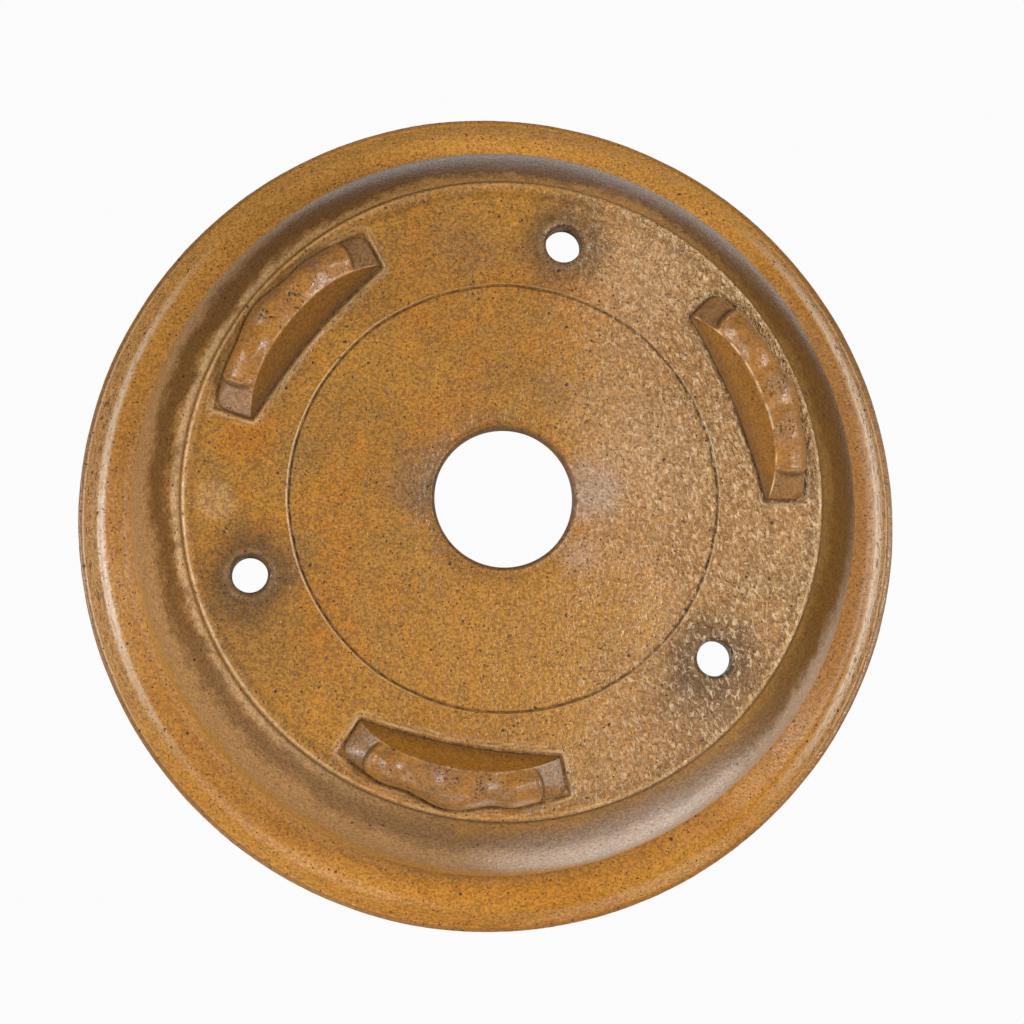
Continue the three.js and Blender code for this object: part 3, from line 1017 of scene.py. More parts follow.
def wall_profile():
    foot_angle = math.asin(-BELLY_RISE / BELLY_ROUND)
    inner_foot = math.asin((FLOOR_TOP + INNER_CORNER - BELLY_HEIGHT) / INNER_ROUND)
    outside = arc_points(BELLY_CENTRE, BELLY_ROUND, foot_angle, 0, 56)
    inside = arc_points(BELLY_CENTRE, INNER_ROUND, 0, inner_foot, 26)
    low = np.array(inside[-1])
    corner_point = np.array([low[0] - (low[1] - FEATHER[1]) * math.tan(-inner_foot), FEATHER[1]])
    curve = curved(low, corner_point, corner_point + (np.array(FEATHER) - corner_point) * 0.9, 8)
    neck_inside = NECK_RADIUS - WALL_THICKNESS
    narrowed = TONGUE_INSET + TONGUE_SLOPE
    tongue = [(NECK_RADIUS - TONGUE_INSET, SEAT), (NECK_RADIUS - narrowed, SEAT + TONGUE_HEIGHT)]
    tongue += [(neck_inside + narrowed, SEAT + TONGUE_HEIGHT), (neck_inside + TONGUE_INSET, SEAT)]
    neck = [(NECK_RADIUS, SEAT), *tongue, (neck_inside, SEAT)]
    points = outside + neck + inside + [tuple(point) for point in curve[1:]] + [FEATHER]
    return even_steps(points + [points[0]], 2.4)


wall_line = profile_object("wall_profile", wall_profile())

# %% [markdown]
# The wall is turned
#
# The tree runs with the wall's own values. A wall that is turned freely wavers by a few tenths of a
# millimetre over some centimetres, and the fingers leave a finer ripple of less than a tenth.

# %% Turn the wall
wall = baked_by_nodes(
    "wall_of_clay",
    bpy.data.meshes.new("wall_start"),
    turn_tree,
    {
        "Profile": wall_line,
        "Steps round": 864,
        "Unevenness": 0.0005,
        "Unevenness scale": 28.0,
        "Ripple": 0.00012,
        "Seed": 3.0,
        "Clay": WALL_CLAY,
    },
)
place_piece(wall, "bowl_wall")

# %% [markdown]
# The rolled rim
#
# Below, the lip springs from a small hollow at the neck and runs out nearly flat. It turns up in a
# sloping face and ends in a soft edge. The photograph doesn't show the top, so it is kept plain.
# Every corner has its own round: soft where cloth went over the clay, tight at the outer edge. The
# first side is the seat on the wall, which nobody sees, so it isn't cut into steps.

# %% Rim profile
LIP_FACE_WIDTH = 10.3
LIP_OVERHANG = RIM_RADIUS - LIP_FACE_WIDTH - NECK_RADIUS
EDGE_BEAD = 2.4
NECK_FILLET = 6.0
INNER_LAND = 7.0
RIM_WIDTH = 20.1
UNDERSIDE_SLOPE = 12
FACE_SLOPE = 48


def height_of(width, slope):
    return width * math.tan(math.radians(slope))


def rim_profile():
    fillet_reach = NECK_FILLET / math.tan(math.radians(90 + UNDERSIDE_SLOPE) / 2)
    corner_height = SEAT + 1.0 + fillet_reach
    lip_corner = corner_height + height_of(LIP_OVERHANG, UNDERSIDE_SLOPE)
    bead_start = lip_corner + height_of(LIP_FACE_WIDTH - EDGE_BEAD, FACE_SLOPE)
    face_top = bead_start + height_of(EDGE_BEAD, UNDERSIDE_SLOPE)
    inner = NECK_RADIUS - WALL_THICKNESS
    corners = [
        (inner, SEAT),
        (NECK_RADIUS, SEAT),
        (NECK_RADIUS, corner_height, NECK_FILLET),
        (RIM_RADIUS - LIP_FACE_WIDTH, lip_corner, 11.0),
        (RIM_RADIUS - EDGE_BEAD, bead_start, 1.2),
        (RIM_RADIUS, face_top, 1.1),
        (RIM_RADIUS, RIM_TOP, 4.1),
        (RIM_RADIUS - RIM_WIDTH, RIM_TOP, 4.1),
        (inner, SEAT + INNER_LAND, 10.0),
    ]
    points = rounded(corners)
    seat_side, rest = points[0], points[1:]
    return [seat_side] + even_steps(rest + [seat_side], 1.15)


rim_line = profile_object("rim_profile", rim_profile())

# %% [markdown]
# The rim is turned
#
# It takes the same tree. Its broad waver is a little smaller than the wall's and its ripple a
# little stronger, because the lip was shaped last, between the fingers.

# %% Turn the rim
rim = baked_by_nodes(
    "rim_of_clay",
    bpy.data.meshes.new("rim_start"),
    turn_tree,
    {
        "Profile": rim_line,
        "Steps round": 900,
        "Unevenness": 0.0004,
        "Unevenness scale": 30.0,
        "Ripple": 0.00015,
        "Seed": 3.0,
        "Clay": RIM_CLAY,
    },
)
place_piece(rim, "rim_band")

# %% [markdown]
# The outline of a foot
#
# Each foot is a lump of clay laid along the slab's edge and pressed on. Its inner side is a leaning
# half-moon, its crown is a row of knuckles, and its ends are two flat tabs. The three were made by
# hand, so each has its own measures. A knuckle, a swell of the outer side and a worn patch each have
# a place and a half width in degrees along the foot from its middle, and the first two a size in
# millimetres.

# %% Feet, measured
FOOT_HALF = 22.4
TAB_LENGTH = 6.2
FOOT_HEIGHT = UNDERSIDE
INNER_SPAN = 30.0
OUTER_SPAN = 6.3
FEET = {
    "foot_1": {
        "azimuth": -90.2,
        "lean_to": 1.6,
        "knuckles": [(13.2, 3.6, 1.7), (6.0, 4.0, 1.6), (-4.8, 4.6, 1.5), (-12.3, 3.8, 1.3)],
        "swells": [(0.0, 8.5, 3.4), (12.8, 4.5, 0.8), (-12.0, 4.5, 0.9)],
        "worn": [(1.2, 3.6), (-5.2, 1.8)],
        "seed": 11.0,
        "ridge_highlight_strength": 0.3,
    },
    "foot_2": {
        "azimuth": 28.8,
        "lean_to": -0.6,
        "knuckles": [(13.2, 3.6, 1.4), (6.6, 4.6, 1.8), (-1.6, 4.0, 1.2), (-10.5, 5.0, 1.8)],
        "swells": [(-2.6, 9.5, 2.8), (9.0, 5.0, 0.8)],
        "worn": [(3.1, 2.4), (-2.9, 1.6)],
        "seed": 23.0,
        "ridge_highlight_strength": 0.3,
    },
    "foot_3": {
        "azimuth": 147.3,
        "lean_to": 0.6,
        "knuckles": [(-13.4, 3.4, 1.0), (-8.1, 4.0, 1.6), (-0.4, 4.4, 1.7), (8.3, 5.0, 1.9)],
        "swells": [(1.8, 8.0, 2.9), (12.0, 4.0, 0.8)],
        "worn": [(-0.1, 2.6), (8.3, 2.4)],
        "seed": 37.0,
        "ridge_highlight_strength": 1.0,
    },
}


def hump(distance, half):
    inside = np.abs(distance) < half
    return np.where(inside, 0.5 + 0.5 * np.cos(np.pi * distance / half), 0.0)


def foot_inner(u):
    return SLAB_RADIUS - INNER_SPAN + 5.1 * (u / FOOT_HALF) ** 2


def foot_outer(foot, u):
    swell = sum(size * hump(u - at, half) for at, half, size in foot["swells"])
    return SLAB_RADIUS - OUTER_SPAN - 2.2 * (u / FOOT_HALF) ** 4 + swell


def foot_ridge(foot, u):
    """How far the ridge above the half-moon stands below the slab: one low arch from tab to tab."""
    shifted = (u - foot["lean_to"] * (1 - (u / FOOT_HALF) ** 2)) / FOOT_HALF
    return 1.2 + (FOOT_HEIGHT - 2.0) * (1 - np.abs(shifted) ** 2.5)


print("feet:", ", ".join(FEET))

# %% [markdown]
# Noise, steps and mounds
#
# Handmade surfaces need unevenness at several sizes. The first helper reads Blender's own noise at
# many points, with sizes in millimetres and a seed that slides it. The other two are the shapes that
# every groove, burr, bead and scratch is made of: a soft step and a rounded mound.


# %% Noise, step and mound
def waves(x, y, size, seed, octaves=2):
    flat = np.stack([np.ravel(x) / size, np.ravel(y) / size], axis=-1)
    values = [noise.fractal(Vector((a, b, seed)), 1.0, 2.0, octaves) for a, b in flat]
    return np.array(values).reshape(np.shape(x))


def smooth_step(value, low, high):
    t = np.clip((value - low) / (high - low), 0, 1)
    return t * t * (3 - 2 * t)


def mound(distance, width):
    """One at distance zero, and almost nothing at twice the width."""
    return np.exp(-((distance / width) ** 2))


print("noise at the middle", waves(np.zeros(1), np.zeros(1), 10.0, 0.5))

# %% [markdown]
# Building a foot
#
# The foot is a sheet of sections. One section runs from the inner base line up the half-moon, over
# a rounded ridge and down the outer side. The crown and the tab have their own sections, and they
# are mixed across a narrow step whose line bows out over the tab.

# %% Foot sections
STATIONS = 300
SECTION = 96
FACE_SHARE = 0.32
RIDGE_SHARE = 0.36
FACE_LEAN = math.tan(math.radians(34))
CREST = 0.44
KNUCKLE_HEIGHT = 1.55
END_REACH = 2.0
END_PULL = 3.6
TAB_ROUND = 0.7
TAB_BOW = 1.3
STEP_SOFT = 0.18


def section_shape(s, inner, outer, ridge_depth, crest_depth):
    """Radius and depth at s, from 0 at the inner base line over the crest to 1 at the outer one."""
    ridge = inner + FACE_LEAN * ridge_depth
    on_face = np.clip(s / FACE_SHARE, 0, 1)
    over = np.clip((s - FACE_SHARE) / (1 - FACE_SHARE), 0, 1)
    climb = np.clip(over / RIDGE_SHARE, 0, 1)
    swing = np.clip((over - RIDGE_SHARE) / (1 - RIDGE_SHARE), 0, 1) * np.pi / 2
    across = np.where(over < RIDGE_SHARE, CREST * climb, CREST + (1 - CREST) * np.sin(swing))
    eased = 0.3 * np.sin(climb * np.pi / 2) + 0.7 * climb**2 * (3 - 2 * climb)
    rise = ridge_depth + (crest_depth - ridge_depth) * eased
    top = np.where(over < RIDGE_SHARE, rise, crest_depth * np.cos(swing) ** 0.7)
    dish = 0.5 * np.sin(np.pi * on_face)
    face_radius = inner + (ridge - inner) * on_face + dish
    radius = np.where(s < FACE_SHARE, face_radius, ridge + across * (outer - ridge))
    return radius, np.where(s < FACE_SHARE, ridge_depth * on_face, top)


print("a foot has", STATIONS, "sections of", SECTION, "points")

# %% [markdown]
# From sections to points
#
# The crown's depth is the ridge plus its knuckles. The ends are rounded in plan, and each tab starts
# at a small step with a raised lip. Faces join the points of neighbouring sections, and one flat
# face closes each end.


# %% Foot points
def foot_points(foot):
    """Degrees along the foot, share of the section, radius, depth and painted step shade for every point."""
    stations, shares = np.linspace(-FOOT_HALF, FOOT_HALF, STATIONS), np.linspace(0, 1, SECTION)
    u, s = np.meshgrid(stations, shares, indexing="ij")
    inner, outer = foot_inner(u), foot_outer(foot, u)
    corner_reach = np.clip((np.abs(u) - (FOOT_HALF - END_REACH)) / END_REACH, 0, 1)
    outer = outer - END_PULL * (1 - np.sqrt(1 - corner_reach**2))
    ridge = foot_ridge(foot, u)
    knuckle = KNUCKLE_HEIGHT * sum(size * hump(u - at, 1.15 * half) for at, half, size in foot["knuckles"])
    crest = ridge + 3.6 * (1 - (ridge / FOOT_HEIGHT) ** 3) - 0.8 + knuckle
    end_round = np.clip((np.abs(u) - (FOOT_HALF - TAB_ROUND)) / TAB_ROUND, 0, 1)
    tab = ridge * np.sqrt(np.clip(1 - end_round**3, 0, 1))
    crown_radius, crown_depth = section_shape(s, inner, outer, ridge, crest)
    tab_radius, tab_depth = section_shape(s, inner, outer - 0.6, tab, tab * 0.96)
    bow = TAB_BOW * np.sin(np.pi * np.clip((s - FACE_SHARE) / (1 - FACE_SHARE), 0, 1))
    past_step = np.abs(u) - (FOOT_HALF - TAB_LENGTH) - bow
    mix = smooth_step(-past_step, -STEP_SOFT, STEP_SOFT)
    lip = 0.8 * mound(past_step + 0.5, 0.5) * smooth_step(s, FACE_SHARE, FACE_SHARE + 0.08)
    radius = tab_radius + (crown_radius - tab_radius) * mix
    depth = tab_depth + (crown_depth - tab_depth) * mix + lip
    step_shade = mound(past_step - 0.30, 0.28) * smooth_step(s, FACE_SHARE, FACE_SHARE + 0.1)
    return u, s, radius, depth, step_shade


def soft_floor(z, softness):
    """Keeps heights above zero, with a rounded change from slope to flat."""
    return 0.5 * (z + np.sqrt(z**2 + softness**2))


def foot_faces():
    """Closed rings of faces from station to station, and a cap at each end."""
    faces = []
    for i in range(STATIONS - 1):
        for k in range(SECTION):
            a, b = i * SECTION + k, i * SECTION + (k + 1) % SECTION
            faces.append((a, a + SECTION, b + SECTION, b))
    last = (STATIONS - 1) * SECTION
    faces.append(tuple(range(SECTION)))
    faces.append(tuple(last + k for k in reversed(range(SECTION))))
    return faces


print("a foot has", len(foot_faces()), "faces")

# %% [markdown]
# The three feet
#
# Each foot gets its points, a little unevenness, and the numbers that its clay reads: where the
# tabs and the inner face are, where painted shade lies in the creases, where a painted highlight runs
# along the ridge, and where the standing patch is rubbed.


# %% Make the feet
def paint(mesh, name, values):
    """Stores one number for each vertex, which a material can read."""
    attribute = mesh.attributes.new(name, "FLOAT", "POINT")
    attribute.data.foreach_set("value", np.ascontiguousarray(values, dtype=np.float32).ravel())


def smooth_mesh(name, points, faces):
    mesh = bpy.data.meshes.new(name)
    mesh.from_pydata((np.array(points) * MM).tolist(), [], faces)
    mesh.polygons.foreach_set("use_smooth", [True] * len(mesh.polygons))
    return mesh


def foot_mesh(name, foot):
    u, s, radius, depth, step_shade = foot_points(foot)
    angle = np.radians(foot["azimuth"] + u)
    x, y = radius * np.cos(angle), radius * np.sin(angle)
    free = smooth_step(depth, 0.4, 2.5) * (s > 0.6 * FACE_SHARE)
    uneven = 0.14 * waves(x, y, 9.0, foot["seed"]) + 0.025 * waves(x, y, 2.4, foot["seed"] + 5)
    depth = depth + free * uneven
    z = np.clip(soft_floor(UNDERSIDE - depth, 0.5) - 0.1, 0, UNDERSIDE)
    z = np.where(depth <= 0, UNDERSIDE, z)
    mesh = smooth_mesh(name, np.stack([x, y, z], axis=-1).reshape(-1, 3), foot_faces())
    paint(mesh, "tab", smooth_step(np.abs(u), FOOT_HALF - TAB_LENGTH, FOOT_HALF - TAB_LENGTH + 1.2))
    paint(mesh, "inner_face", smooth_step(FACE_SHARE - s, 0.0, 0.03))
    # Painted shade where the foot meets the slab, along the steps and low on the inner face.
    low = smooth_step(2.2 - depth, 0.0, 2.2) * (s > 0.5 * FACE_SHARE)
    low = low + 0.5 * smooth_step(0.8 - depth, 0.0, 0.8)
    shade = 0.45 * smooth_step(7.0 - depth, 0.0, 7.0) * (s < FACE_SHARE)
    paint(mesh, "crease", np.maximum(np.clip(low + shade, 0, 1), 0.75 * step_shade))
    # A painted highlight along the ridge.
    ridge_line = mound(s - FACE_SHARE - 0.006, 0.015) * (np.abs(u) < FOOT_HALF - 1)
    patchy = np.clip(0.5 + 1.6 * waves(x, y, 7.0, foot["seed"] + 9), 0.05, 0.9)
    paint(mesh, "ridge_highlight", ridge_line * foot["ridge_highlight_strength"] * patchy)
    standing = sum(hump(u - at, half) for at, half in foot["worn"])
    paint(mesh, "worn", np.clip(1.6 * standing, 0, 1) * smooth_step(1.6 - z, 0.0, 1.0))
    mesh.materials.append(FOOT_CLAY)
    return mesh


for name, foot in FEET.items():
    piece = new_object(name + "_of_clay", foot_mesh(name + "_of_clay", foot))
    place_piece(piece, name)

# %% [markdown]
# The underside of the slab
#
# This is the face that the photograph looks at, so it is real relief. Every mark on it is worked out
# from a distance: to the cut circle, to a foot, to a hole, to the edge or to a line of the tool.
# The tool lines are short scratches, each with its two ends and its depth.


# %% Distances on the underside
def beside_foot(foot, radius, azimuth):
    """Distance in millimetres outside a foot's base line, negative inside it."""
    u = (azimuth - foot["azimuth"] + 180) % 360 - 180
    across = np.maximum(foot_inner(u) - radius, radius - foot_outer(foot, np.clip(u, -FOOT_HALF, FOOT_HALF)))
    beyond = (np.abs(u) - FOOT_HALF) * np.pi / 180 * radius
    outside = np.hypot(np.maximum(across, 0), np.maximum(beyond, 0))
    return np.where((across < 0) & (beyond < 0), np.maximum(across, beyond), outside)


def segment_distance(x, y, start, end):
    along = np.array(end) - np.array(start)
    t = np.clip(((x - start[0]) * along[0] + (y - start[1]) * along[1]) / (along @ along), 0, 1)
    return np.hypot(x - start[0] - t * along[0], y - start[1] - t * along[1])


TOOL_LINES = [
    (photo_point(71, 13), photo_point(73, -9), 0.18),
    (photo_point(47, 14), photo_point(52, -8), 0.14),
    (photo_point(96, -22), photo_point(99, -40), 0.12),
    (photo_point(60, 70), photo_point(68, 62), 0.12),
]
print("tool lines:", len(TOOL_LINES))

# %% [markdown]
# The relief, mark by mark
#
# The function gives how far each point stands out or is sunk: the cut circle and its burr, the
# wrinkled skin on the right, the beads of slip squeezed out round the feet, the lips of the holes,
# the tool lines and the raised brim. It also says where painted shade goes in the creases and where
# painted highlights go on the ridges.

# %% Relief of the underside
GROOVE_LINE = GROOVE_RADIUS - 0.7
GROOVE_DEPTH = 0.8
CENTRE_RECESS = 0.4
MOUTH_SOFT = 2.4
BURR_HEIGHT = 0.48
BEAD_HEIGHT = 0.62
BRIM_HEIGHT = 0.35
TROUGH_DEPTH = 0.30


def relief(radius, azimuth):
    """How far the underside stands out, and how much painted shade and painted highlight it gets."""
    x, y = np.moveaxis(polar(radius, azimuth), -1, 0)
    to_right = x * PHOTO_RIGHT[0] + y * PHOTO_RIGHT[1]
    rightness = smooth_step(to_right + 12 * waves(x, y, 40.0, 3.3), 5, 60)
    rough = 0.8 + 0.6 * waves(x, y, 3.0, 7.7)
    groove = GROOVE_LINE + 0.35 * waves(x, y, 30.0, 8.8)
    cut = mound(radius - groove, 0.48)
    height = -CENTRE_RECESS * smooth_step(groove - radius, 0.0, 1.2) - GROOVE_DEPTH * cut
    sideways = np.abs(to_right) / radius
    burr = mound(radius - groove - 0.85, 0.28) * np.clip(rough, 0.35, 1.2)
    height += BURR_HEIGHT * burr
    # Painted shade in the cut circle.
    crease = mound(radius - groove + 0.15, 0.62) * np.clip(rough, 0.55, 1)
    # A painted highlight on the burr, strongest on the sides to the right and left.
    ridge_highlight = np.clip(burr * (0.2 + 0.8 * sideways**2), 0, 1)
    height += 0.30 * waves(x, y, 34.0, 1.5) + 0.12 * waves(x, y, 9.0, 6.1)
    wrinkle = waves(x + y * 0.3, y * 0.6, 2.6, 4.4, 3)
    height += (0.05 + 0.16 * rightness) * wrinkle
    height -= 0.9 * np.exp(-(radius - DRAIN_RADIUS - MOUTH_SOFT) / 5.0)
    for foot in FEET.values():
        gap = beside_foot(foot, radius, azimuth)
        broken = np.clip(0.75 + 1.1 * waves(x, y, 11.0, 2.6), 0.1, 1.3)
        bead = mound(gap - 1.7, 0.62) * broken
        thread = mound(gap - 3.4, 0.45) * np.clip(1.4 - broken, 0, 1)
        height += BEAD_HEIGHT * bead + 0.25 * thread - 0.50 * mound(gap - 0.4, 0.6)
        # The beads carry a painted highlight.
        ridge_highlight = np.maximum(ridge_highlight, 0.45 * bead + 0.35 * thread)
        # Painted shade along each foot's base line, and fainter just outside its bead.
        crease = np.maximum(crease, mound(gap - 0.2, 0.75) * np.clip(rough, 0, 1))
        crease = np.maximum(crease, 0.4 * mound(gap - 2.7, 0.40) * rough)
    for centre in TIE_CENTRES:
        gap = np.hypot(x - centre[0], y - centre[1]) - TIE_RADIUS
        ring = mound(gap - 2.6, 1.0) * rough
        height += 0.30 * ring
        # A faint painted highlight on the ring round each tie hole.
        ridge_highlight = np.maximum(ridge_highlight, 0.12 * ring)
        # Painted shade in the mouth of each tie hole.
        crease = np.maximum(crease, 0.8 * smooth_step(1.5 - gap, 0.0, 0.9))
    for start, end, depth in TOOL_LINES:
        height -= depth * mound(segment_distance(x, y, start, end), 0.5)
    edge = SLAB_RADIUS - radius
    brim = mound(edge - 1.1, 0.55) * np.clip(rough, 0.3, 1.2)
    trough = mound(edge - 4.6, 1.5)
    height += BRIM_HEIGHT * brim - TROUGH_DEPTH * trough
    # Painted shade in the trough inside the brim.
    crease = np.maximum(crease, 0.3 * trough)
    # A painted highlight on the brim, strongest on the sides to the right and left.
    ridge_highlight = np.maximum(ridge_highlight, np.clip(0.8 * brim, 0, 1) * (0.3 + 0.7 * sideways**2))
    return height * smooth_step(edge, 0.0, 1.6), crease, ridge_highlight


in_the_groove = relief(np.array([GROOVE_LINE]), np.array([0.0]))
print("relief in the cut circle", in_the_groove[0].round(2), "mm")

# %% [markdown]
# The slab as stacked rings
#
# The slab is a closed band of rings, from the drain hole out along the underside, round the edge,
# up the bevel and back along the top. Rings near the feet have many points and hidden ones few, so
# neighbours are stitched one to one or two to one.

# %% Slab rings
OUTER_COUNT = 864
MIDDLE_COUNT = 432
TOP_COUNT = 216
TOP_RINGS = 54
EDGE_ROUND = 1.1
EDGE_TOP = UNDERSIDE + 1.3


def slab_rings():
    """(points round, radius, height above the ground, follows the relief) for each ring."""
    rings = []
    for t in np.linspace(0, np.pi / 2, 7)[:-1]:
        mouth_radius = DRAIN_RADIUS + MOUTH_SOFT * (1 - math.cos(t))
        rings.append((MIDDLE_COUNT, mouth_radius, UNDERSIDE + 3.3 - MOUTH_SOFT * math.sin(t), False))
    for radius in np.arange(DRAIN_RADIUS + MOUTH_SOFT, GROOVE_RADIUS - 3.2, 1.2):
        rings.append((MIDDLE_COUNT, radius, UNDERSIDE, True))
    for radius in np.arange(GROOVE_RADIUS - 2.4, GROOVE_RADIUS + 2.0, 0.27):
        rings.append((OUTER_COUNT, radius, UNDERSIDE, True))
    for radius in np.linspace(GROOVE_RADIUS + 2.4, SLAB_RADIUS - EDGE_ROUND, 50):
        rings.append((OUTER_COUNT, radius, UNDERSIDE, True))
    for t in np.linspace(0, np.pi / 2, 6)[1:]:
        edge_radius = SLAB_RADIUS - EDGE_ROUND * (1 - math.sin(t))
        rings.append((OUTER_COUNT, edge_radius, UNDERSIDE + EDGE_ROUND * (1 - math.cos(t)), False))
    rings.append((OUTER_COUNT, SLAB_RADIUS, EDGE_TOP, False))
    bevel_start = WALL_FOOT_RADIUS - 0.3
    rings.append((MIDDLE_COUNT, bevel_start, EDGE_TOP, False))
    rings.append((TOP_COUNT, bevel_start - 9.2, FLOOR_TOP, False))
    for radius in np.linspace(bevel_start - 10.4, DRAIN_RADIUS + 1.0, TOP_RINGS):
        rings.append((TOP_COUNT, radius, FLOOR_TOP, False))
    rings.append((TOP_COUNT, DRAIN_RADIUS + 0.3, FLOOR_TOP - 0.3, False))
    rings.append((TOP_COUNT, DRAIN_RADIUS, FLOOR_TOP - 1.0, False))
    return rings


print("the slab has", len(slab_rings()), "rings")

# %% [markdown]
# Stitching the rings
#
# Two neighbours with the same count are joined by four-sided faces. Where one has twice as many
# points as the other, three triangles fill each gap, so the slab stays closed.


# %% Stitch the slab
def stitched(count_a, start_a, count_b, start_b):
    """Faces between two rings whose counts are equal, or one twice the other."""
    faces = []
    if count_a == count_b:
        for i in range(count_a):
            j = (i + 1) % count_a
            faces.append((start_a + i, start_a + j, start_b + j, start_b + i))
        return faces
    few = min(count_a, count_b)
    coarse, fine = (start_a, start_b) if count_a < count_b else (start_b, start_a)
    for i in range(few):
        j = (i + 1) % few
        f0, f1, f2 = fine + 2 * i, fine + 2 * i + 1, fine + (2 * i + 2) % (2 * few)
        triangles = [(coarse + i, f1, f0), (coarse + i, coarse + j, f1), (coarse + j, f2, f1)]
        faces += triangles if coarse == start_a else [t[::-1] for t in triangles]
    return faces


def slab_mesh():
    rings = slab_rings()
    points, faces, starts, creases, highlights = [], [], [], [], []
    for count, radius, z, follows in rings:
        azimuth = np.arange(count) * 360 / count
        radii = np.full(count, radius)
        height, crease, ridge_highlight = relief(radii, azimuth)
        starts.append(sum(len(p) for p in points))
        points.append(np.column_stack([polar(radii, azimuth), z - height * follows]))
        # Rings that don't follow the relief get painted shade where they lie over a millimetre above the
        # underside.
        hidden = z > UNDERSIDE + 1.0
        creases.append(crease if follows else np.full(count, 0.6 * hidden))
        # Only the underside keeps its painted highlights.
        highlights.append(ridge_highlight * (z < UNDERSIDE + 0.7))
    counts = [ring[0] for ring in rings]
    for i, count in enumerate(counts):
        after = (i + 1) % len(rings)
        faces += stitched(count, starts[i], counts[after], starts[after])
    mesh = smooth_mesh("slab_start", np.vstack(points), faces)
    paint(mesh, "crease", np.concatenate(creases))
    paint(mesh, "ridge_highlight", np.concatenate(highlights))
    return mesh


slab_start = slab_mesh()
print("slab before boring:", len(slab_start.vertices), "vertices")

# %% [markdown]
# Boring the holes for the wires
#
# Three holes repeat one cutter, so a Geometry Nodes tree places it on three points and subtracts
# it. The cutter flares where it leaves the underside, which softens each mouth.

# %% Geometry Nodes tree: bored slab
bore_tree, given, result = new_tree(
    "Bored slab",
    "GeometryNodeTree",
    [
        ("Geometry", "NodeSocketGeometry", None),
        ("Cutter", "NodeSocketObject", None),
        ("Places", "NodeSocketObject", None),
        ("Clay", "NodeSocketMaterial", None),
    ],
    [("Geometry", "NodeSocketGeometry")],
)
cutter_shape = put(bore_tree, "GeometryNodeObjectInfo", {"Object": given["Cutter"]}).outputs["Geometry"]
places = put(bore_tree, "GeometryNodeObjectInfo", {"Object": given["Places"]}).outputs["Geometry"]
cutters = put(bore_tree, "GeometryNodeInstanceOnPoints", {"Points": places, "Instance": cutter_shape})
real_cutters = put(bore_tree, "GeometryNodeRealizeInstances", {"Geometry": first(cutters)})
bored = put(
    bore_tree,
    "GeometryNodeMeshBoolean",
    {"Mesh 1": given["Geometry"], "Mesh 2": first(real_cutters)},
    operation="DIFFERENCE",
    solver="EXACT",
)
whole = put(bore_tree, "GeometryNodeRealizeInstances", {"Geometry": first(bored)})
clayed = put(bore_tree, "GeometryNodeSetMaterial", {"Geometry": first(whole), "Material": given["Clay"]})
bore_tree.links.new(first(clayed), result["Geometry"])
print("boring tree has", len(bore_tree.nodes), "nodes")

# %% [markdown]
# The cutter, and the bored slab
#
# The cutter is a stack of rings, like the slab, closed at both ends. It carries the slab's two
# numbers as well, so the walls of the bores get painted shade and stay dull after the cut.

# %% Bore the slab
CUTTER_SIDES = 72
MOUTH_ROUND = 1.1


def cutter_mesh():
    profile = [(TIE_RADIUS + MOUTH_ROUND + 0.8, UNDERSIDE - 3)]
    for t in np.linspace(0, np.pi / 2, 6):
        mouth_radius = TIE_RADIUS + MOUTH_ROUND * (1 - math.sin(t))
        profile.append((mouth_radius, UNDERSIDE + MOUTH_ROUND * (1 - math.cos(t)) - 0.15))
    profile.append((TIE_RADIUS, FLOOR_TOP + 3))
    points, faces = [], []
    for radius, z in profile:
        xy = polar(np.full(CUTTER_SIDES, radius), np.arange(CUTTER_SIDES) * 360 / CUTTER_SIDES)
        points += [(a, b, z) for a, b in xy]
    for start in range(0, (len(profile) - 1) * CUTTER_SIDES, CUTTER_SIDES):
        faces += [face[::-1] for face in stitched(CUTTER_SIDES, start, CUTTER_SIDES, start + CUTTER_SIDES)]
    faces.append(tuple(reversed(range(CUTTER_SIDES))))
    faces.append(tuple((len(profile) - 1) * CUTTER_SIDES + i for i in range(CUTTER_SIDES)))
    mesh = smooth_mesh("hole_cutter", points, faces)
    paint(mesh, "crease", np.full(len(points), 0.6))
    paint(mesh, "ridge_highlight", np.zeros(len(points)))
    return mesh


cutter = new_object("hole_cutter", cutter_mesh())
hole_mesh = bpy.data.meshes.new("hole_places")
hole_mesh.from_pydata([(*(centre * MM), 0.0) for centre in TIE_CENTRES], [], [])
hole_places = new_object("hole_places", hole_mesh)
bore_values = {"Cutter": cutter, "Places": hole_places, "Clay": SLAB_CLAY}
slab = baked_by_nodes("slab_of_clay", slab_start, bore_tree, bore_values)
place_piece(slab, "floor_slab")

# %% [markdown]
# Only the pot stays
#
# The profiles, the cutter and its places have done their work. They are removed, so that nothing
# but the six pieces stands for the pot.

# %% Clear the helpers away
for helper in (wall_line, rim_line, cutter, hole_places):
    bpy.data.objects.remove(helper)

# %% [markdown]
# The floor
#
# The pot stands on a pale floor, and the photograph looks at it from below. So the floor shows only
# to camera rays that come from above it. To every other ray it is clear, and the lamps below reach
# the pot's underside through it. From above it is an ordinary floor with the pot's shadow on it.

# %% Floor
FLOOR_HALF = 4.0
FLOOR_PALE = (0.86, 0.86, 0.86, 1.0)


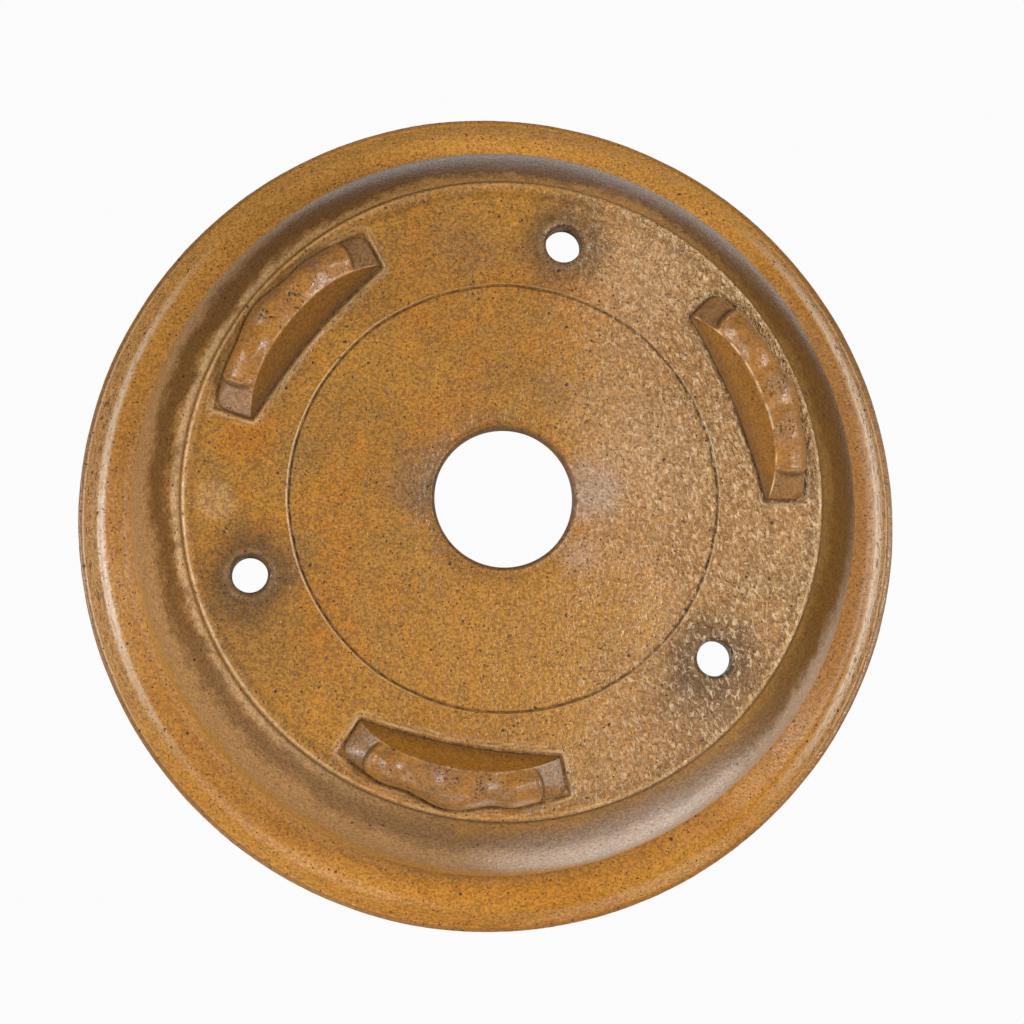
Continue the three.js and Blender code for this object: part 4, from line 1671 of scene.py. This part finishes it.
def floor_material():
    material = bpy.data.materials.new("pale_floor")
    material.use_nodes = True
    tree = material.node_tree
    output = tree.nodes["Material Output"]
    tree.nodes.remove(tree.nodes["Principled BSDF"])
    from_above = calc(tree, "SUBTRACT", 1.0, put(tree, "ShaderNodeNewGeometry").outputs["Backfacing"])
    seen = times(tree, put(tree, "ShaderNodeLightPath").outputs["Is Camera Ray"], from_above)
    solid = first(put(tree, "ShaderNodeBsdfDiffuse", {"Color": FLOOR_PALE}))
    clear = first(put(tree, "ShaderNodeBsdfTransparent"))
    mix = tree.nodes.new("ShaderNodeMixShader")
    for socket, value in zip(mix.inputs, (seen, clear, solid)):
        tree.links.new(value, socket)
    tree.links.new(first(mix), output.inputs["Surface"])
    return material


floor_mesh = bpy.data.meshes.new("floor")
floor_corners = [(x * FLOOR_HALF, y * FLOOR_HALF, 0) for x, y in ((-1, -1), (1, -1), (1, 1), (-1, 1))]
floor_mesh.from_pydata(floor_corners, [], [(0, 1, 2, 3)])
floor_mesh.materials.append(floor_material())
floor = new_object("floor", floor_mesh)
print("floor made")

# %% [markdown]
# The camera
#
# The pot shows the camera its underside. In the pot's own frame the camera is a metre below the
# ground, nearly on the axis, and looks up. Its place and turn come from a fit of the circles and
# the holes. The picture is square, and the lens sees 23 degrees.

# %% Camera
CAMERA_PLACE = Vector((0.05136, -0.12779, -1.03292))
CAMERA_RIGHT = Vector((-0.98062, 0.18175, -0.07321))
CAMERA_DOWN = Vector((-0.18874, -0.97652, 0.10386))
camera_data = bpy.data.cameras.new("camera")
camera_data.lens = 87.9
camera_data.sensor_width = 36.0
camera_data.clip_start = 0.05
camera_data.clip_end = 50.0
camera = new_object("camera", camera_data)
right = CAMERA_RIGHT.normalized()
back = right.cross(-CAMERA_DOWN).normalized()
up = back.cross(right)
camera.matrix_world = Matrix.Translation(CAMERA_PLACE) @ Matrix((right, up, back)).transposed().to_4x4()
bpy.context.scene.camera = camera
print("camera looks along", [round(c, 3) for c in -back])

# %% [markdown]
# The light
#
# Four soft boxes stand round the camera, as in a plain product photograph, and two more stand above
# for the other views. The boxes on the left and on the right are small, so the clay glints beside
# them. Each lamp's power is worked out from the share of a white sheet's full brightness that it
# gives at the pot, so that colours render about as written.

# %% Lamps
POT_MIDDLE = Vector((0.0, 0.0, 0.05))


def soft_box(name, direction, distance, size, share):
    lamp = bpy.data.lights.new(name, "AREA")
    lamp.shape = "DISK"
    lamp.size = size
    lamp.energy = share * math.pi**2 * distance**2
    box = new_object(name, lamp)
    toward = Vector(direction).normalized()
    box.location = POT_MIDDLE + toward * distance
    box.rotation_mode = "QUATERNION"
    box.rotation_quaternion = toward.to_track_quat("Z", "Y")


def beside_camera(to_right, to_up):
    """Direction from the pot, given in degrees to the right of the camera and above it."""
    x, y = math.tan(math.radians(to_right)), math.tan(math.radians(to_up))
    return right * x + up * y + back


soft_box("box_left", beside_camera(-52, 4), 1.3, 0.50, 0.48)
soft_box("box_low", beside_camera(-38, -52), 1.4, 1.2, 0.30)
soft_box("box_right", beside_camera(38, 2), 1.4, 0.42, 0.54)
soft_box("box_side", beside_camera(70, 22), 1.4, 0.7, 0.26)
soft_box("box_above", (-0.06, 0.75, 1.0), 1.6, 1.5, 0.14)
soft_box("box_front", (-0.7, -0.9, 0.75), 1.8, 1.4, 0.24)

# %% [markdown]
# The room
#
# The camera sees a plain white room. The clay is lit softly from above and hardly from below. What
# it mirrors is a third thing: a white backdrop straight above, which is brighter towards one side.
# It gives the belly its soft sheen where the wall turns away from the photograph's camera.

# %% World
world = bpy.data.worlds.new("white_room")
bpy.context.scene.world = world
world.use_nodes = True
sky = world.node_tree
background = sky.nodes["Background"]
background.inputs["Color"].default_value = (1.0, 1.0, 1.0, 1.0)
shows = put(sky, "ShaderNodeLightPath").outputs["Is Camera Ray"]
heading = put(sky, "ShaderNodeTexCoord").outputs["Generated"]
direction = put(sky, "ShaderNodeSeparateXYZ", {"Vector": heading})
room = ramp(sky, direction.outputs["Z"], -0.9, 0.2, 0.08, 0.42)
mirrored = put(sky, "ShaderNodeLightPath").outputs["Is Glossy Ray"]
backdrop = ramp(sky, direction.outputs["Z"], 0.80, 0.99, 0.05, 1.0)
wall_side = (*polar(1.0, photo_azimuth(45)), 0.0)
backdrop = times(sky, backdrop, ramp(sky, reach_along(sky, heading, wall_side), -0.4, 0.3, 0.25, 1.0))
lit = put(sky, "ShaderNodeMix", {"Factor": mirrored, "A": room, "B": backdrop}, data_type="FLOAT")
strength = calc(sky, "MAXIMUM", first(lit), times(sky, shows, 0.97))
sky.links.new(strength, background.inputs["Strength"])
bpy.context.scene.view_settings.view_transform = "Standard"
print("room made with", len(sky.nodes), "nodes")
